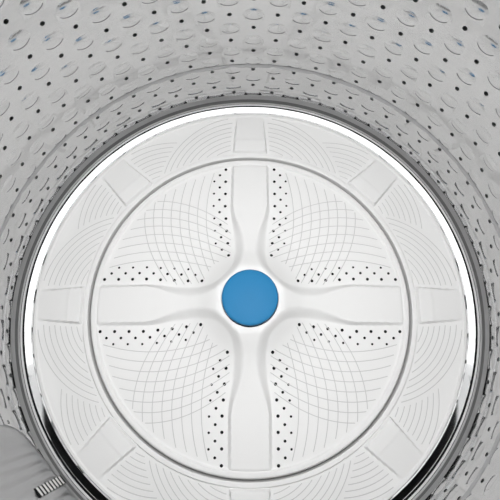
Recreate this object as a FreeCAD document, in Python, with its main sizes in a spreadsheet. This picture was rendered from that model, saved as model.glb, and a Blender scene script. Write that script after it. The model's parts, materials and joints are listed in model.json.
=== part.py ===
import FreeCAD, Part
import math
import os
import re

import Sketcher

# Top load washing machine, lid open. Millimetres, +Z up, the front faces -Y.
# The origin is on the floor under the centre of the cabinet, on the axis of the wash basket.

os.makedirs("parts", exist_ok=True)
doc = FreeCAD.newDocument("washer")

# ---------------------------------------------------------------- driving dimensions

dimensions = {
    "cabinet_width": 686, "cabinet_depth": 686, "cabinet_base": 40, "cabinet_top": 915,
    "rear_face": 331, "corner_radius": 22, "sheet": 1.2,
    "deck_height": 950, "deck_wall": 3, "mouth_width": 430, "mouth_front": 225, "mouth_rear": 150,
    "mouth_corner": 60, "mouth_lip": 15,
    "foot_reach": 315, "foot_radius": 21, "stud_radius": 5,
    "hinge_y": 176, "hinge_z": 957, "pin_radius": 4, "lid_width": 500, "lid_length": 440,
    "lid_open": 100,
    "console_top": 1118, "console_front": 232, "console_lean": 12,
    "tub_radius": 305, "tub_wall": 4, "tub_floor": 270, "tub_top": 865,
    "rod_reach": 272, "rod_radius": 4, "spring_foot": 196, "lug_level": 330,
    "basket_radius": 270, "basket_wall": 1, "basket_floor": 331, "basket_top": 845,
    "plate_level": 345, "impeller_radius": 188.2, "groove": 1.8, "plate_radius": 252,
    "hub_top": 401, "cap_radius": 30, "vane_width": 42, "pad_width": 42,
    "shaft_radius": 12, "tube_radius": 17, "running_gap": 0.05,
    "pulley_radius": 75, "motor_pulley_radius": 18, "pulley_level": 128, "pulley_width": 18,
    "motor_reach": 190, "motor_radius": 60, "pump_x": -150, "pump_z": 198,
    "button_travel": 2.5,
}

sheet = doc.addObject("Spreadsheet::Sheet", "Sizes")
for rowNumber, (alias, value) in enumerate(dimensions.items(), start=1):
    sheet.set(f"A{rowNumber}", alias)
    sheet.set(f"B{rowNumber}", str(value))
    sheet.setAlias(f"B{rowNumber}", alias)
doc.recompute()

nodes = {}


def bound(text):
    """An expression with each dimension name pointed at its cell."""
    return re.sub(r"[a-z_]+", lambda word: f"Sizes.{word[0]}" if word[0] in dimensions else word[0], str(text))


def number(text):
    return float(sheet.evalExpression(bound(text)))


def tie(item, **texts):
    for prop, text in texts.items():
        item.setExpression(prop.replace("__", "."), bound(text))


def move(item, at):
    x, y, z = at
    tie(item, Placement__Base__x=x, Placement__Base__y=y, Placement__Base__z=z)


def keep(node, item):
    item.Label = node
    nodes[node] = item
    return item


# ---------------------------------------------------------------- shape helpers

def block(name, size, at):
    item = doc.addObject("Part::Box", name)
    tie(item, Length=size[0], Width=size[1], Height=size[2])
    move(item, at)
    return item


def centred(name, size, at):
    """A box whose plan centre is at x, y and whose underside is at z."""
    return block(name, size, (f"({at[0]}) - ({size[0]}) / 2", f"({at[1]}) - ({size[1]}) / 2", at[2]))


turns = {
    "z": FreeCAD.Rotation(),
    "x": FreeCAD.Rotation(FreeCAD.Vector(0, 1, 0), 90),
    "y": FreeCAD.Rotation(FreeCAD.Vector(1, 0, 0), -90),
}


def rod(name, radius, length, at, along="z"):
    item = doc.addObject("Part::Cylinder", name)
    tie(item, Radius=radius, Height=length)
    item.Placement = FreeCAD.Placement(FreeCAD.Vector(), turns[along])
    move(item, at)
    return item


def hexagon(name, radius, length, at):
    item = doc.addObject("Part::Prism", name)
    item.Polygon = 6
    tie(item, Circumradius=radius, Height=length)
    move(item, at)
    return item


def join(name, *items):
    item = doc.addObject("Part::MultiFuse", name)
    item.Shapes = list(items)
    return item


def cut(name, base, *tools):
    item = doc.addObject("Part::Cut", name)
    item.Base = base
    item.Tool = tools[0] if len(tools) == 1 else join(f"{name}_tools", *tools)
    return item


def overlap(name, first, second):
    item = doc.addObject("Part::Common", name)
    item.Base = first
    item.Tool = second
    return item


def group(name, *items):
    """Separate solids of one kind, kept together and not merged."""
    item = doc.addObject("Part::Compound", name)
    item.Links = list(items)
    return item


def rounded(name, base, radius, edges=(1, 3, 5, 7)):
    """A box with upright edges rounded; 1 and 5 are its front edges, 3 and 7 its rear edges."""
    doc.recompute()
    item = doc.addObject("Part::Fillet", name)
    item.Base = base
    item.Edges = [(edge, number(radius), number(radius)) for edge in edges]
    return item


def outline(body, plane, points):
    """A closed polygon sketch on an origin plane, every corner tied to the sheet."""
    origin = next(item for item in body.Origin.OriginFeatures if item.Role == plane)
    sketch = body.newObject("Sketcher::SketchObject", f"{body.Name}_sketch")
    sketch.AttachmentSupport = [(origin, "")]
    sketch.MapMode = "FlatFace"
    corners = [FreeCAD.Vector(number(x), number(y), 0) for x, y in points]
    count = len(points)
    for index in range(count):
        sketch.addGeometry(Part.LineSegment(corners[index], corners[(index + 1) % count]))
    rules = [Sketcher.Constraint("Coincident", index, 2, (index + 1) % count, 1) for index in range(count)]
    for index, corner in enumerate(corners):
        rules.append(Sketcher.Constraint("DistanceX", -1, 1, index, 1, corner.x))
        rules.append(Sketcher.Constraint("DistanceY", -1, 1, index, 1, corner.y))
    sketch.addConstraint(rules)
    for index, (x, y) in enumerate(points):
        sketch.setExpression(f"Constraints[{count + 2 * index}]", bound(x))
        sketch.setExpression(f"Constraints[{count + 2 * index + 1}]", bound(y))
    return sketch


def turned(name, profile):
    """A solid of revolution about the upright axis; profile is a list of (radius, height)."""
    body = doc.addObject("PartDesign::Body", name)
    sketch = outline(body, "XZ_Plane", profile)
    feature = body.newObject("PartDesign::Revolution", f"{name}_turn")
    feature.Profile = sketch
    feature.ReferenceAxis = (sketch, ["V_Axis"])
    feature.Angle = 360
    sketch.Visibility = False
    return body


def padded(name, plane, points, start, length):
    """An outline padded from start over length along the plane's normal."""
    body = doc.addObject("PartDesign::Body", name)
    sketch = outline(body, plane, points)
    tie(sketch, AttachmentOffset__Base__z=start)
    feature = body.newObject("PartDesign::Pad", f"{name}_pad")
    feature.Profile = sketch
    tie(feature, Length=length)
    return body


def around(name, item, count, start=0):
    """Copies of one item turned evenly about the upright axis."""
    copies = []
    for index in range(count):
        copy = doc.addObject("Part::Compound", f"{name}_{index + 1}")
        copy.Links = [item]
        angle = start + 360 * index / count
        copy.Placement = FreeCAD.Placement(FreeCAD.Vector(), FreeCAD.Rotation(FreeCAD.Vector(0, 0, 1), angle))
        copies.append(copy)
    return copies


def shaped(name, shape):
    item = doc.addObject("Part::Feature", name)
    item.Shape = shape
    return item


corners = [("front_left", -1, -1), ("front_right", 1, -1), ("rear_left", -1, 1), ("rear_right", 1, 1)]


# ---------------------------------------------------------------- cabinet

def makeCabinet():
    depth = "cabinet_depth / 2 + rear_face"
    height = "cabinet_top - cabinet_base"
    outer = block("wrap_outer", ("cabinet_width", depth, height),
                  ("-cabinet_width / 2", "-cabinet_depth / 2", "cabinet_base"))
    outer = rounded("wrap_outer_round", outer, "corner_radius", (1, 5))
    inner = block("wrap_inner", ("cabinet_width - 2 * sheet", depth, f"{height} + 20"),
                  ("-cabinet_width / 2 + sheet", "-cabinet_depth / 2 + sheet", "cabinet_base - 10"))
    inner = rounded("wrap_inner_round", inner, "corner_radius - sheet", (1, 5))
    shell = cut("wrap_shell", outer, inner)
    flanges = [
        block(f"wrap_flange_{side}", (14, "sheet", height), (x, "rear_face - sheet", "cabinet_base"))
        for side, x in (("left", "-cabinet_width / 2 + sheet"), ("right", "cabinet_width / 2 - sheet - 14"))
    ]
    keep("cabinet_wrap", join("wrap", shell, *flanges))


def makeRearPanel():
    panel = block("rear_sheet", ("cabinet_width - 4", "sheet", "cabinet_top - cabinet_base - 2"),
                  ("-cabinet_width / 2 + 2", "rear_face", "cabinet_base + 1"))
    ribs = [
        block(f"rear_rib_{index}", (16, 4, 520), (x, "rear_face + sheet", 150))
        for index, x in enumerate((-200, -8, 184))
    ]
    holes = [
        rod("rear_drain_hole", 20, 20, (-250, "rear_face - 10", 840), "y"),
        rod("rear_cord_hole", 8, 20, (250, "rear_face - 10", 870), "y"),
    ]
    keep("rear_panel", cut("rear", join("rear_stamped", panel, *ribs), *holes))


def makeBase():
    side = "cabinet_width - 2 * sheet - 1"
    depth = "cabinet_depth / 2 + rear_face - 2 * sheet - 1"
    left = "-cabinet_width / 2 + sheet + 0.5"
    front = "-cabinet_depth / 2 + sheet + 0.5"
    outer = block("base_outer", (side, depth, 26), (left, front, 30))
    outer = rounded("base_outer_round", outer, "corner_radius", (1, 5))
    inner = block("base_inner", (f"{side} - 100", f"{depth} - 100", 46), (f"{left} + 50", f"{front} + 50", 20))
    channelOuter = block("base_channel", (f"{side} - 6", f"{depth} - 6", 23), (f"{left} + 3", f"{front} + 3", 30))
    channelInner = block("base_island", (f"{side} - 94", f"{depth} - 94", 40), (f"{left} + 47", f"{front} + 47", 20))
    channel = cut("base_trough", channelOuter, channelInner)
    holes = [
        rod(f"base_hole_{name}", "stud_radius + 0.5", 40, (f"{x} * foot_reach", footY(y), 20))
        for name, x, y in corners
    ]
    keep("base_frame", cut("base", outer, inner, channel, *holes))


def footY(side):
    return "-foot_reach" if side < 0 else "foot_reach - 12"


def makeFeet():
    feet = []
    nuts = []
    soles = []
    for name, x, y in corners:
        place = (f"{x} * foot_reach", footY(y))
        stud = rod(f"foot_stud_{name}", "stud_radius", 58, (*place, 14))
        flange = hexagon(f"foot_hex_{name}", 13, 10, (*place, 12))
        dish = rod(f"foot_dish_{name}", "foot_radius", 6, (*place, 6))
        feet.append(join(f"foot_{name}", stud, flange, dish))
        soles.append(rod(f"foot_sole_{name}", "foot_radius + 1", 6, (*place, 0)))
        nut = hexagon(f"foot_nut_{name}", 9.5, 6, (*place, 56))
        bore = rod(f"foot_nut_bore_{name}", "stud_radius", 12, (*place, 53))
        nuts.append(cut(f"foot_lock_nut_{name}", nut, bore))
    keep("levelling_feet", group("feet", *feet))
    keep("foot_soles", group("soles", *soles))
    keep("foot_lock_nuts", group("nuts", *nuts))


def makeBraces():
    reach = "cabinet_width / 2 - sheet - 1"
    rear = "rear_face - sheet - 1"
    plates = []
    for name, x, y in corners:
        side = f"{x} * ({reach})"
        points = [(side, rear), (f"{x} * 215", rear), (side, 215)]
        if y < 0:
            points = [(f"{x} * ({reach} - 20)", f"-({reach})"), (f"{x} * 215", f"-({reach})"),
                      (side, -215), (side, f"-({reach} - 20)")]
        plate = padded(f"brace_plate_{name}", "XY_Plane", points, 880, 3)
        place = (f"{x} * rod_reach", f"{y} * rod_reach")
        hole = rod(f"brace_hole_{name}", 9, 20, (*place, 872))
        plates.append(cut(f"brace_{name}", plate, hole))
    keep("corner_braces", group("braces", *plates))


def makeDeck():
    height = "deck_height - cabinet_top"
    outer = block("deck_outer", ("cabinet_width", "cabinet_depth", height),
                  ("-cabinet_width / 2", "-cabinet_depth / 2", "cabinet_top"))
    outer = rounded("deck_outer_round", outer, "corner_radius")
    inner = block("deck_inner", ("cabinet_width - 2 * deck_wall", "cabinet_depth - 2 * deck_wall", height),
                  ("-cabinet_width / 2 + deck_wall", "-cabinet_depth / 2 + deck_wall", "cabinet_top - deck_wall"))
    inner = rounded("deck_inner_round", inner, "corner_radius - deck_wall")
    lip = block("deck_lip", ("mouth_width + 2 * deck_wall", "mouth_front + mouth_rear + 2 * deck_wall",
                             f"{height} + mouth_lip"),
                ("-mouth_width / 2 - deck_wall", "-mouth_front - deck_wall", "cabinet_top - mouth_lip"))
    lip = rounded("deck_lip_round", lip, "mouth_corner + deck_wall")
    mouth = block("deck_mouth", ("mouth_width", "mouth_front + mouth_rear", f"{height} + mouth_lip + 20"),
                  ("-mouth_width / 2", "-mouth_front", "cabinet_top - mouth_lip - 10"))
    mouth = rounded("deck_mouth_round", mouth, "mouth_corner")
    slot = block("deck_slot", (9, 24, 20), (233.5, -112, "deck_height - 10"))
    funnelHole = rod("deck_funnel_hole", 26, 20, (-280, -210, "deck_height - 10"))
    shell = cut("deck_shell", outer, inner)
    keep("top_deck", cut("deck", join("deck_body", shell, lip), mouth, slot, funnelHole))


def makeFunnel():
    cup = turned("funnel_cup", [
        (20, "deck_height + 2"), (20, 915), (12, 900), (12, 885), (14.5, 885), (14.5, 899), (25.5, 913),
        (25.5, "deck_height"), (30, "deck_height"), (30, "deck_height + 2"),
    ])
    cup.Placement = FreeCAD.Placement(FreeCAD.Vector(-280, -210, 0), FreeCAD.Rotation())
    strip = block("funnel_strip", (24, 12, 2), (-292, -185, "deck_height"))
    ears = [
        block(f"funnel_ear_{side}", (4, 7, 8.5), (x, -180, "deck_height"))
        for side, x in (("left", -292), ("right", -272))
    ]
    bore = rod("funnel_ear_bore", "1.5 + running_gap", 40, (-300, -176.5, "deck_height + 5.5"), "x")
    keep("bleach_funnel", cut("funnel", join("funnel_body", cup, strip, *ears), bore))
    plate = rod("flap_plate", 29, 2.5, (-280, -210, "deck_height + 2.3"))
    tongue = block("flap_tongue", (14, 36, 2.5), (-287, -212, "deck_height + 2.3"))
    barrel = rod("flap_barrel", 2.6, 14, (-287, -176.5, "deck_height + 5.5"), "x")
    pin = rod("flap_pin", 1.5, 24, (-292, -176.5, "deck_height + 5.5"), "x")
    grip = block("flap_grip", (16, 5, 2.5), (-288, -243, "deck_height + 2.3"))
    keep("bleach_flap", join("flap", plate, tongue, barrel, pin, grip))


# ---------------------------------------------------------------- lid, built closed about its hinge axis

def openLid(item):
    item.Placement = FreeCAD.Placement(
        FreeCAD.Vector(0, number("hinge_y"), number("hinge_z")),
        FreeCAD.Rotation(FreeCAD.Vector(1, 0, 0), -number("lid_open")),
    )


def makeLid():
    low = "deck_height - hinge_z + 1.5"
    frameOuter = block("lid_outer", ("lid_width", "lid_length", 18), ("-lid_width / 2", "-lid_length - 8", low))
    frameOuter = rounded("lid_outer_round", frameOuter, 30, (1, 5))
    window = block("lid_window", ("lid_width - 90", "lid_length - 110", 40),
                   ("-lid_width / 2 + 45", "-lid_length + 52", "deck_height - hinge_z - 10"))
    window = rounded("lid_window_round", window, 28)
    rebate = block("lid_rebate", ("lid_width - 66", "lid_length - 86", 20),
                   ("-lid_width / 2 + 33", "-lid_length + 40", f"{low} + 13"))
    rebate = rounded("lid_rebate_round", rebate, 34)
    knuckles = [
        join(f"lid_knuckle_{side}",
             rod(f"lid_knuckle_rod_{side}", 6.3, 40, (f"{x} - 20", 0, 0), "x"),
             block(f"lid_knuckle_web_{side}", (40, 12, 8), (f"{x} - 20", -12, -5)))
        for side, x in (("left", -170), ("right", 170))
    ]
    pinHole = rod("lid_pin_hole", "pin_radius", "lid_width", ("-lid_width / 2", 0, 0), "x")
    frame = cut("lid_frame_open", frameOuter, window, rebate)
    lid = keep("lid_frame", cut("lid_frame_shape", join("lid_frame_body", frame, *knuckles), pinHole))
    glass = block("lid_glass_box", ("lid_width - 68", "lid_length - 88", 5),
                  ("-lid_width / 2 + 34", "-lid_length + 41", f"{low} + 13"))
    glass = keep("lid_glass", group("lid_glass_shape", rounded("lid_glass_round", glass, 33)))
    handle = padded("lid_handle_bar", "YZ_Plane", [
        ("-lid_length - 8", f"{low} + 2"), ("-lid_length - 20", f"{low} + 5"), ("-lid_length - 22", f"{low} + 12"),
        ("-lid_length - 18", f"{low} + 18"), ("-lid_length - 8", f"{low} + 18"),
    ], -90, 180)
    handle = keep("lid_handle", handle)
    strike = block("strike_bar", (5, 16, 20), (235.5, "-108 - hinge_y", f"{low} - 20"))
    strikeHole = rod("strike_eye", 5, 20, (225, "-100 - hinge_y", f"{low} - 13"), "x")
    strike = keep("lid_strike", cut("strike", strike, strikeHole))
    bumpers = [
        rod(f"bumper_{index}", 6, 1.2, (x, y, f"{low} - 1.2"))
        for index, (x, y) in enumerate(((-225, -430), (225, -430), (-225, -30), (225, -30)))
    ]
    bumpers = keep("lid_bumpers", group("bumpers", *bumpers))
    pins = [
        rod(f"lid_pin_{side}", "pin_radius", 70, (f"{x} - 35", 0, 0), "x")
        for side, x in (("left", -170), ("right", 170))
    ]
    pins = keep("lid_hinge_pins", group("lid_pins", *pins))
    for item in (lid, glass, handle, strike, bumpers, pins):
        openLid(item)


def makeHinges():
    brackets = []
    for side, x in (("left", -170), ("right", 170)):
        ears = [
            join(f"hinge_ear_{side}_{index}",
                 rod(f"hinge_eye_{side}_{index}", 7, 8, (ear, "hinge_y", "hinge_z"), "x"),
                 block(f"hinge_web_{side}_{index}", (8, 14, "hinge_z - deck_height"),
                       (ear, "hinge_y - 7", "deck_height")))
            for index, ear in enumerate((f"{x} - 30", f"{x} + 22"))
        ]
        bore = rod(f"hinge_bore_{side}", "pin_radius + running_gap", 90, (f"{x} - 45", "hinge_y", "hinge_z"), "x")
        brackets.append(cut(f"hinge_{side}", join(f"hinge_pair_{side}", *ears), bore))
    keep("lid_hinge_brackets", group("hinges", *brackets))


def makeLock():
    body = block("lock_body", (34, 52, 28), (224, -126, "deck_height - deck_wall - 28"))
    slot = block("lock_slot", (9, 24, 30), (233.5, -112, "deck_height - 26"))
    way = block("lock_way", (40, 7, 7), (225, -103.5, "deck_height - 15"))
    keep("lid_lock_housing", cut("lock", body, slot, way))
    keep("lid_lock_bolt", block("bolt", (14, 6.4, 5), (243, -103.2, "deck_height - 14")))


# ---------------------------------------------------------------- console

# name, x and cap radius of each push button
buttonPlaces = [
    ("power", -250, 13), ("start", -200, 17), ("temperature", 140, 11), ("spin", 190, 11), ("soil", 240, 11),
]
knobX = -120
controlLevel = 84


def lean(item, x=0, level=0, rotation=FreeCAD.Rotation()):
    """Place a piece against the sloping front; its own x-z plane is the front, -y points out of it."""
    foot = FreeCAD.Vector(0, number("console_front"), number("deck_height"))
    slope = FreeCAD.Placement(foot, FreeCAD.Rotation(FreeCAD.Vector(1, 0, 0), -number("console_lean")))
    item.Placement = slope.multiply(FreeCAD.Placement(FreeCAD.Vector(x, 0, level), rotation))
    return item


def makeConsole():
    rise = "console_top - deck_height"
    back = f"console_front + ({rise} - 6) * tan(console_lean * 1 deg)"

    def profile(inset, foot):
        return [
            (f"console_front + {inset}", foot), (f"{back} + {inset}", f"console_top - 6 - {inset}"),
            (f"{back} + 8 + {inset}", f"console_top - {inset}"), (f"rear_face + 12 - {inset}", f"console_top - {inset}"),
            (f"rear_face + 12 - {inset}", foot),
        ]
    width = "cabinet_width - 24"
    outer = padded("console_outer", "YZ_Plane", profile(0, "deck_height"), f"-({width}) / 2", width)
    inner = padded("console_inner", "YZ_Plane", profile(3, "deck_height - 5"), f"-({width}) / 2 - 5", f"{width} + 10")
    ports = [
        rod(f"console_port_{side}", 17, 30, (x, "rear_face - 10", 1000), "y")
        for side, x in (("hot", 190), ("cold", 250))
    ]
    stems = [rod(f"console_stem_{name}", 3.6, 20, (x, -5, controlLevel), "y") for name, x, _ in buttonPlaces]
    stems.append(rod("console_spindle", "pin_radius + running_gap", 20, (knobX, -5, controlLevel), "y"))
    stems = lean(group("console_stems", *stems))
    keep("console_housing", cut("console", outer, inner, stems, *ports))
    caps = [
        padded(f"console_cap_{side}", "YZ_Plane", profile(0, "deck_height"), x, 7)
        for side, x in (("left", f"-({width}) / 2 - 7"), ("right", f"({width}) / 2"))
    ]
    keep("console_end_caps", group("console_caps", *caps))


def makeFascia():
    plate = block("fascia_plate", ("cabinet_width - 60", 4, 140), ("-cabinet_width / 2 + 30", -4, 14))
    cutouts = [block("fascia_display_cut", (130, 20, 46), (-50, -10, 61))]
    for name, x, radius in buttonPlaces:
        cutouts.append(rod(f"fascia_hole_{name}", radius + 0.4, 30, (x, -15, controlLevel), "y"))
    cutouts.append(rod("fascia_knob_hole", 8, 30, (knobX, -15, controlLevel), "y"))
    keep("console_fascia", lean(cut("fascia", plate, *cutouts)))
    window = block("display_plate", (129, 3.2, 45), (-49.5, -3.2, 61.5))
    keep("display_window", lean(group("display", window)))


def makeControls():
    outward = FreeCAD.Rotation(FreeCAD.Vector(1, 0, 0), 90)
    for name, x, radius in buttonPlaces:
        button = turned(f"button_{name}_turn", [
            (0, -13), (3, -13), (3, "button_travel + 0.6"), (radius, "button_travel + 0.6"),
            (radius, 7.5), (f"{radius} - 1.2", 8.6), (0, 8.2),
        ])
        keep(f"button_{name}", lean(button, x, controlLevel, outward))
    knob = turned("knob_turn", [
        (0, -14), ("pin_radius", -14), ("pin_radius", 5.2), (30, 5.2), (30, 9), (26, 11), (24.5, 22),
        (22.5, 24), (0, 24),
    ])
    keep("cycle_knob", lean(knob, knobX, controlLevel, outward))


def makeRearServices():
    body = block("valve_body", (110, 26, 34), (165, 290, 983))
    coils = [rod(f"valve_coil_{side}", 12, 30, (x, 303, 1016)) for side, x in (("hot", 190), ("cold", 250))]
    ports = [rod(f"valve_port_{side}", 13.2, 28, (x, "rear_face - 16", 1000), "y")
             for side, x in (("hot", 190), ("cold", 250))]
    bores = [rod(f"valve_bore_{side}", 9.5, 24, (x, "rear_face - 10", 1000), "y")
             for side, x in (("hot", 190), ("cold", 250))]
    keep("inlet_valve", cut("valve", join("valve_solid", body, *coils, *ports), *bores))
    port = rod("drain_tube", 16, 32, (-250, "rear_face - 20", 840), "y")
    collar = rod("drain_collar", 26, 3, (-250, "rear_face - 3.2", 840), "y")
    bore = rod("drain_bore", 12, 60, (-250, "rear_face - 40", 840), "y")
    keep("drain_port", cut("drain", join("drain_solid", port, collar), bore))
    gland = rod("gland_sleeve", 8, 18, (250, "rear_face - 8", 870), "y")
    flange = rod("gland_flange", 13, 4, (250, "rear_face + sheet", 870), "y")
    hole = rod("gland_bore", 4.5, 60, (250, "rear_face - 40", 870), "y")
    keep("cord_gland", cut("gland", join("gland_solid", gland, flange), hole))


# ---------------------------------------------------------------- suspended tub

def coilShape(radius, wire, rise, coils):
    """A coil spring of six-sided wire in straight steps, twelve to the turn."""
    steps = 12 * coils
    sides = 6
    rings = []
    for step in range(steps + 1):
        turn = 2 * math.pi * step / 12
        ring = []
        for side in range(sides):
            angle = 2 * math.pi * side / sides
            reach = radius + wire * math.cos(angle)
            ring.append(FreeCAD.Vector(reach * math.cos(turn), reach * math.sin(turn),
                                       rise * step / steps + wire * math.sin(angle)))
        rings.append(ring)
    faces = [rings[0], rings[-1]]
    for first, second in zip(rings, rings[1:]):
        for side in range(sides):
            after = (side + 1) % sides
            faces.append([first[side], first[after], second[after]])
            faces.append([first[side], second[after], second[side]])
    shell = Part.makeShell([Part.Face(Part.makePolygon(face + face[:1])) for face in faces])
    solid = Part.makeSolid(shell)
    if solid.Volume < 0:
        solid.reverse()
    return solid


def makeSuspension():
    """Four rods hang in the corner braces; a coil spring on each carries one lug of the tub."""
    rods = []
    springs = []
    wire = 1.8
    low = number("spring_foot") + 6
    coil = coilShape(15, wire, number("lug_level") - low - 2 * wire, 7)
    for name, x, y in corners:
        place = (f"{x} * rod_reach", f"{y} * rod_reach")
        bar = rod(f"rod_bar_{name}", "rod_radius", "897 - spring_foot", (*place, "spring_foot - 10"))
        cup = rod(f"rod_cup_{name}", 20, 6, (*place, "spring_foot"))
        seat = doc.addObject("Part::Sphere", f"rod_ball_{name}")
        tie(seat, Radius=13)
        move(seat, (*place, 883))
        top = centred(f"rod_ball_keep_{name}", (30, 30, 14), (*place, 883))
        dome = overlap(f"rod_dome_{name}", seat, top)
        rods.append(join(f"rod_{name}", bar, cup, dome))
        spring = shaped(f"spring_{name}", coil)
        spring.Placement = FreeCAD.Placement(
            FreeCAD.Vector(number(place[0]), number(place[1]), low + wire), FreeCAD.Rotation())
        springs.append(spring)
    keep("suspension_rods", group("rods", *rods))
    keep("suspension_springs", group("springs", *springs))


def makeTub():
    shell = turned("tub_turn", [
        (60, "tub_floor"), (95, "tub_floor"), (110, "tub_floor + 6"), ("tub_radius - 12", "tub_floor + 6"),
        ("tub_radius", "tub_floor + 18"), ("tub_radius", "tub_top"), ("tub_radius - tub_wall", "tub_top"),
        ("tub_radius - tub_wall", "tub_floor + 20"), ("tub_radius - 14", "tub_floor + 10"),
        (110, "tub_floor + 10"), (95, "tub_floor + 4"), (60, "tub_floor + 4"),
    ])
    lug = block("lug_arm", ("rod_reach * 1.41421 - tub_radius + 24", 46, 14), ("tub_radius - 2", -23, "lug_level"))
    web = padded("lug_web", "XZ_Plane", [
        ("tub_radius - 2", "lug_level + 14"), ("tub_radius + 60", "lug_level + 14"),
        ("tub_radius - 2", "lug_level + 90"),
    ], -3, 6)
    hole = rod("lug_hole", 7, 60, ("rod_reach * 1.41421", 0, "lug_level - 20"))
    lugs = around("lug", cut("lug_shape", join("lug_body", lug, web), hole), 4, 45)
    stub = rod("sump_stub", 16.5, 42, ("pump_x", -150, 240))
    bore = rod("sump_bore", 13, 90, ("pump_x", -150, 220))
    keep("outer_tub", cut("tub", join("tub_body", shell, stub, *lugs), bore))
    keep("tub_ring", turned("tub_ring_turn", [
        (236, "tub_top + 8"), (240, "tub_top + 14"), ("tub_radius + 6", "tub_top + 14"),
        ("tub_radius + 8", "tub_top - 12"), ("tub_radius + 0.2", "tub_top - 12"), ("tub_radius + 0.2", "tub_top"),
        ("tub_radius - 12", "tub_top"), (262, "tub_top + 8"),
    ]))


def makeDrive():
    inner = "tube_radius"
    keep("bearing_housing", turned("housing_turn", [
        ("tube_radius + 3", 200), ("tube_radius + 14", 200), ("tube_radius + 14", 186), (42, 186), (46, 200),
        (46, 254), (88, 262), (88, "tub_floor"), (59.6, "tub_floor"), (59.6, 296), (40, 306),
        ("tube_radius + 14", 306), ("tube_radius + 14", 280), ("tube_radius + 3", 280),
    ]))
    bearings = [
        turned(f"{name}_bearing_turn", [
            (f"{inner} + running_gap", low), (f"{inner} + 14", low), (f"{inner} + 14", low + 14),
            (f"{inner} + running_gap", low + 14),
        ])
        for name, low in (("lower", 186), ("upper", 280))
    ]
    keep("tube_bearings", group("bearings", *bearings))
    keep("tub_seal", turned("seal_turn", [
        (f"{inner} + running_gap", 295), (f"{inner} + 14", 295), (f"{inner} + 14", 304),
        (f"{inner} + 4", 306), (f"{inner} + running_gap", 306),
    ]))
    keep("spin_tube", turned("spin_tube_turn", [
        ("shaft_radius + running_gap", 160), (inner, 160), (inner, "basket_floor + 5"),
        ("shaft_radius + running_gap", "basket_floor + 5"),
    ]))
    shaft = rod("shaft_bar", "shaft_radius", "366 - pulley_level + 6", (0, 0, "pulley_level - 6"))
    hole = rod("shaft_tap", 4, 60, (0, 0, 340))
    keep("agitate_shaft", cut("shaft", shaft, hole))
    width = "pulley_width"
    level = "pulley_level"
    keep("drive_pulley", turned("pulley_turn", [
        ("shaft_radius", level), (24, level), (24, f"{level} + 6"), ("pulley_radius - 8", f"{level} + 6"),
        ("pulley_radius - 8", level), ("pulley_radius + 3", level), ("pulley_radius + 3", f"{level} + 2"),
        ("pulley_radius", f"{level} + 2"), ("pulley_radius", f"{level} + {width} - 2"),
        ("pulley_radius + 3", f"{level} + {width} - 2"), ("pulley_radius + 3", f"{level} + {width}"),
        ("pulley_radius - 8", f"{level} + {width}"), ("pulley_radius - 8", f"{level} + 11"),
        (24, f"{level} + 11"), (24, f"{level} + {width}"), ("shaft_radius", f"{level} + {width}"),
    ]))
    motor = turned("motor_turn", [
        (6.05, 168), (24, 168), (28, 174), ("motor_radius - 8", 174), ("motor_radius", 182),
        ("motor_radius", 238), ("motor_radius - 8", 248), (12, 248), (12, 240), (6.05, 240),
    ])
    motor.Placement = FreeCAD.Placement(FreeCAD.Vector(number("motor_reach"), 0, 0), FreeCAD.Rotation())
    keep("motor", motor)
    plate = centred("bracket_plate", (150, 90, 5), ("motor_reach - 6", 0, 256))
    posts = [rod(f"bracket_post_{index}", 6, "tub_floor + 6 - 261", (x, y, 261))
             for index, (x, y) in enumerate(((130, 36), (130, -36), (248, 36), (248, -36)))]
    ties = [rod(f"bracket_tie_{index}", 5, 10, (f"motor_reach + {x}", y, 248))
            for index, (x, y) in enumerate(((30, 30), (30, -30), (-30, 30), (-30, -30)))]
    keep("motor_bracket", join("bracket", plate, *posts, *ties))
    rotor = rod("rotor_shaft", 6, "240 - pulley_level + 4", ("motor_reach", 0, "pulley_level - 4"))
    pulley = turned("motor_pulley_turn", [
        (6, level), ("motor_pulley_radius + 3", level), ("motor_pulley_radius + 3", f"{level} + 2"),
        ("motor_pulley_radius", f"{level} + 2"), ("motor_pulley_radius", f"{level} + {width} - 2"),
        ("motor_pulley_radius + 3", f"{level} + {width} - 2"), ("motor_pulley_radius + 3", f"{level} + {width}"),
        (6, f"{level} + {width}"),
    ])
    pulley.Placement = FreeCAD.Placement(FreeCAD.Vector(number("motor_reach"), 0, 0), FreeCAD.Rotation())
    keep("motor_pulley", join("motor_wheel", rotor, pulley))
    keep("drive_belt", shaped("belt", beltShape()))


def beltLoop(large, small, reach, low, height):
    """The stadium between two circles of unlike radius, as one solid."""
    slant = math.acos((large - small) / reach)
    def onCircle(centre, radius, angle):
        return FreeCAD.Vector(centre + radius * math.cos(angle), radius * math.sin(angle), low)
    ends = [onCircle(0, large, slant), onCircle(0, large, -slant)]
    far = [onCircle(reach, small, slant), onCircle(reach, small, -slant)]
    edges = [
        Part.Arc(ends[0], onCircle(0, large, math.pi), ends[1]).toShape(),
        Part.LineSegment(ends[1], far[1]).toShape(),
        Part.Arc(far[1], onCircle(reach, small, 0), far[0]).toShape(),
        Part.LineSegment(far[0], ends[0]).toShape(),
    ]
    return Part.Face(Part.Wire(edges)).extrude(FreeCAD.Vector(0, 0, height))


def beltShape():
    large = number("pulley_radius") + 0.4
    small = number("motor_pulley_radius") + 0.4
    reach = number("motor_reach")
    low = number("pulley_level") + 2.6
    height = number("pulley_width") - 5.2
    outside = beltLoop(large + 2.2, small + 2.2, reach, low, height)
    return outside.cut(beltLoop(large, small, reach, low - 1, height + 2))


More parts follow.
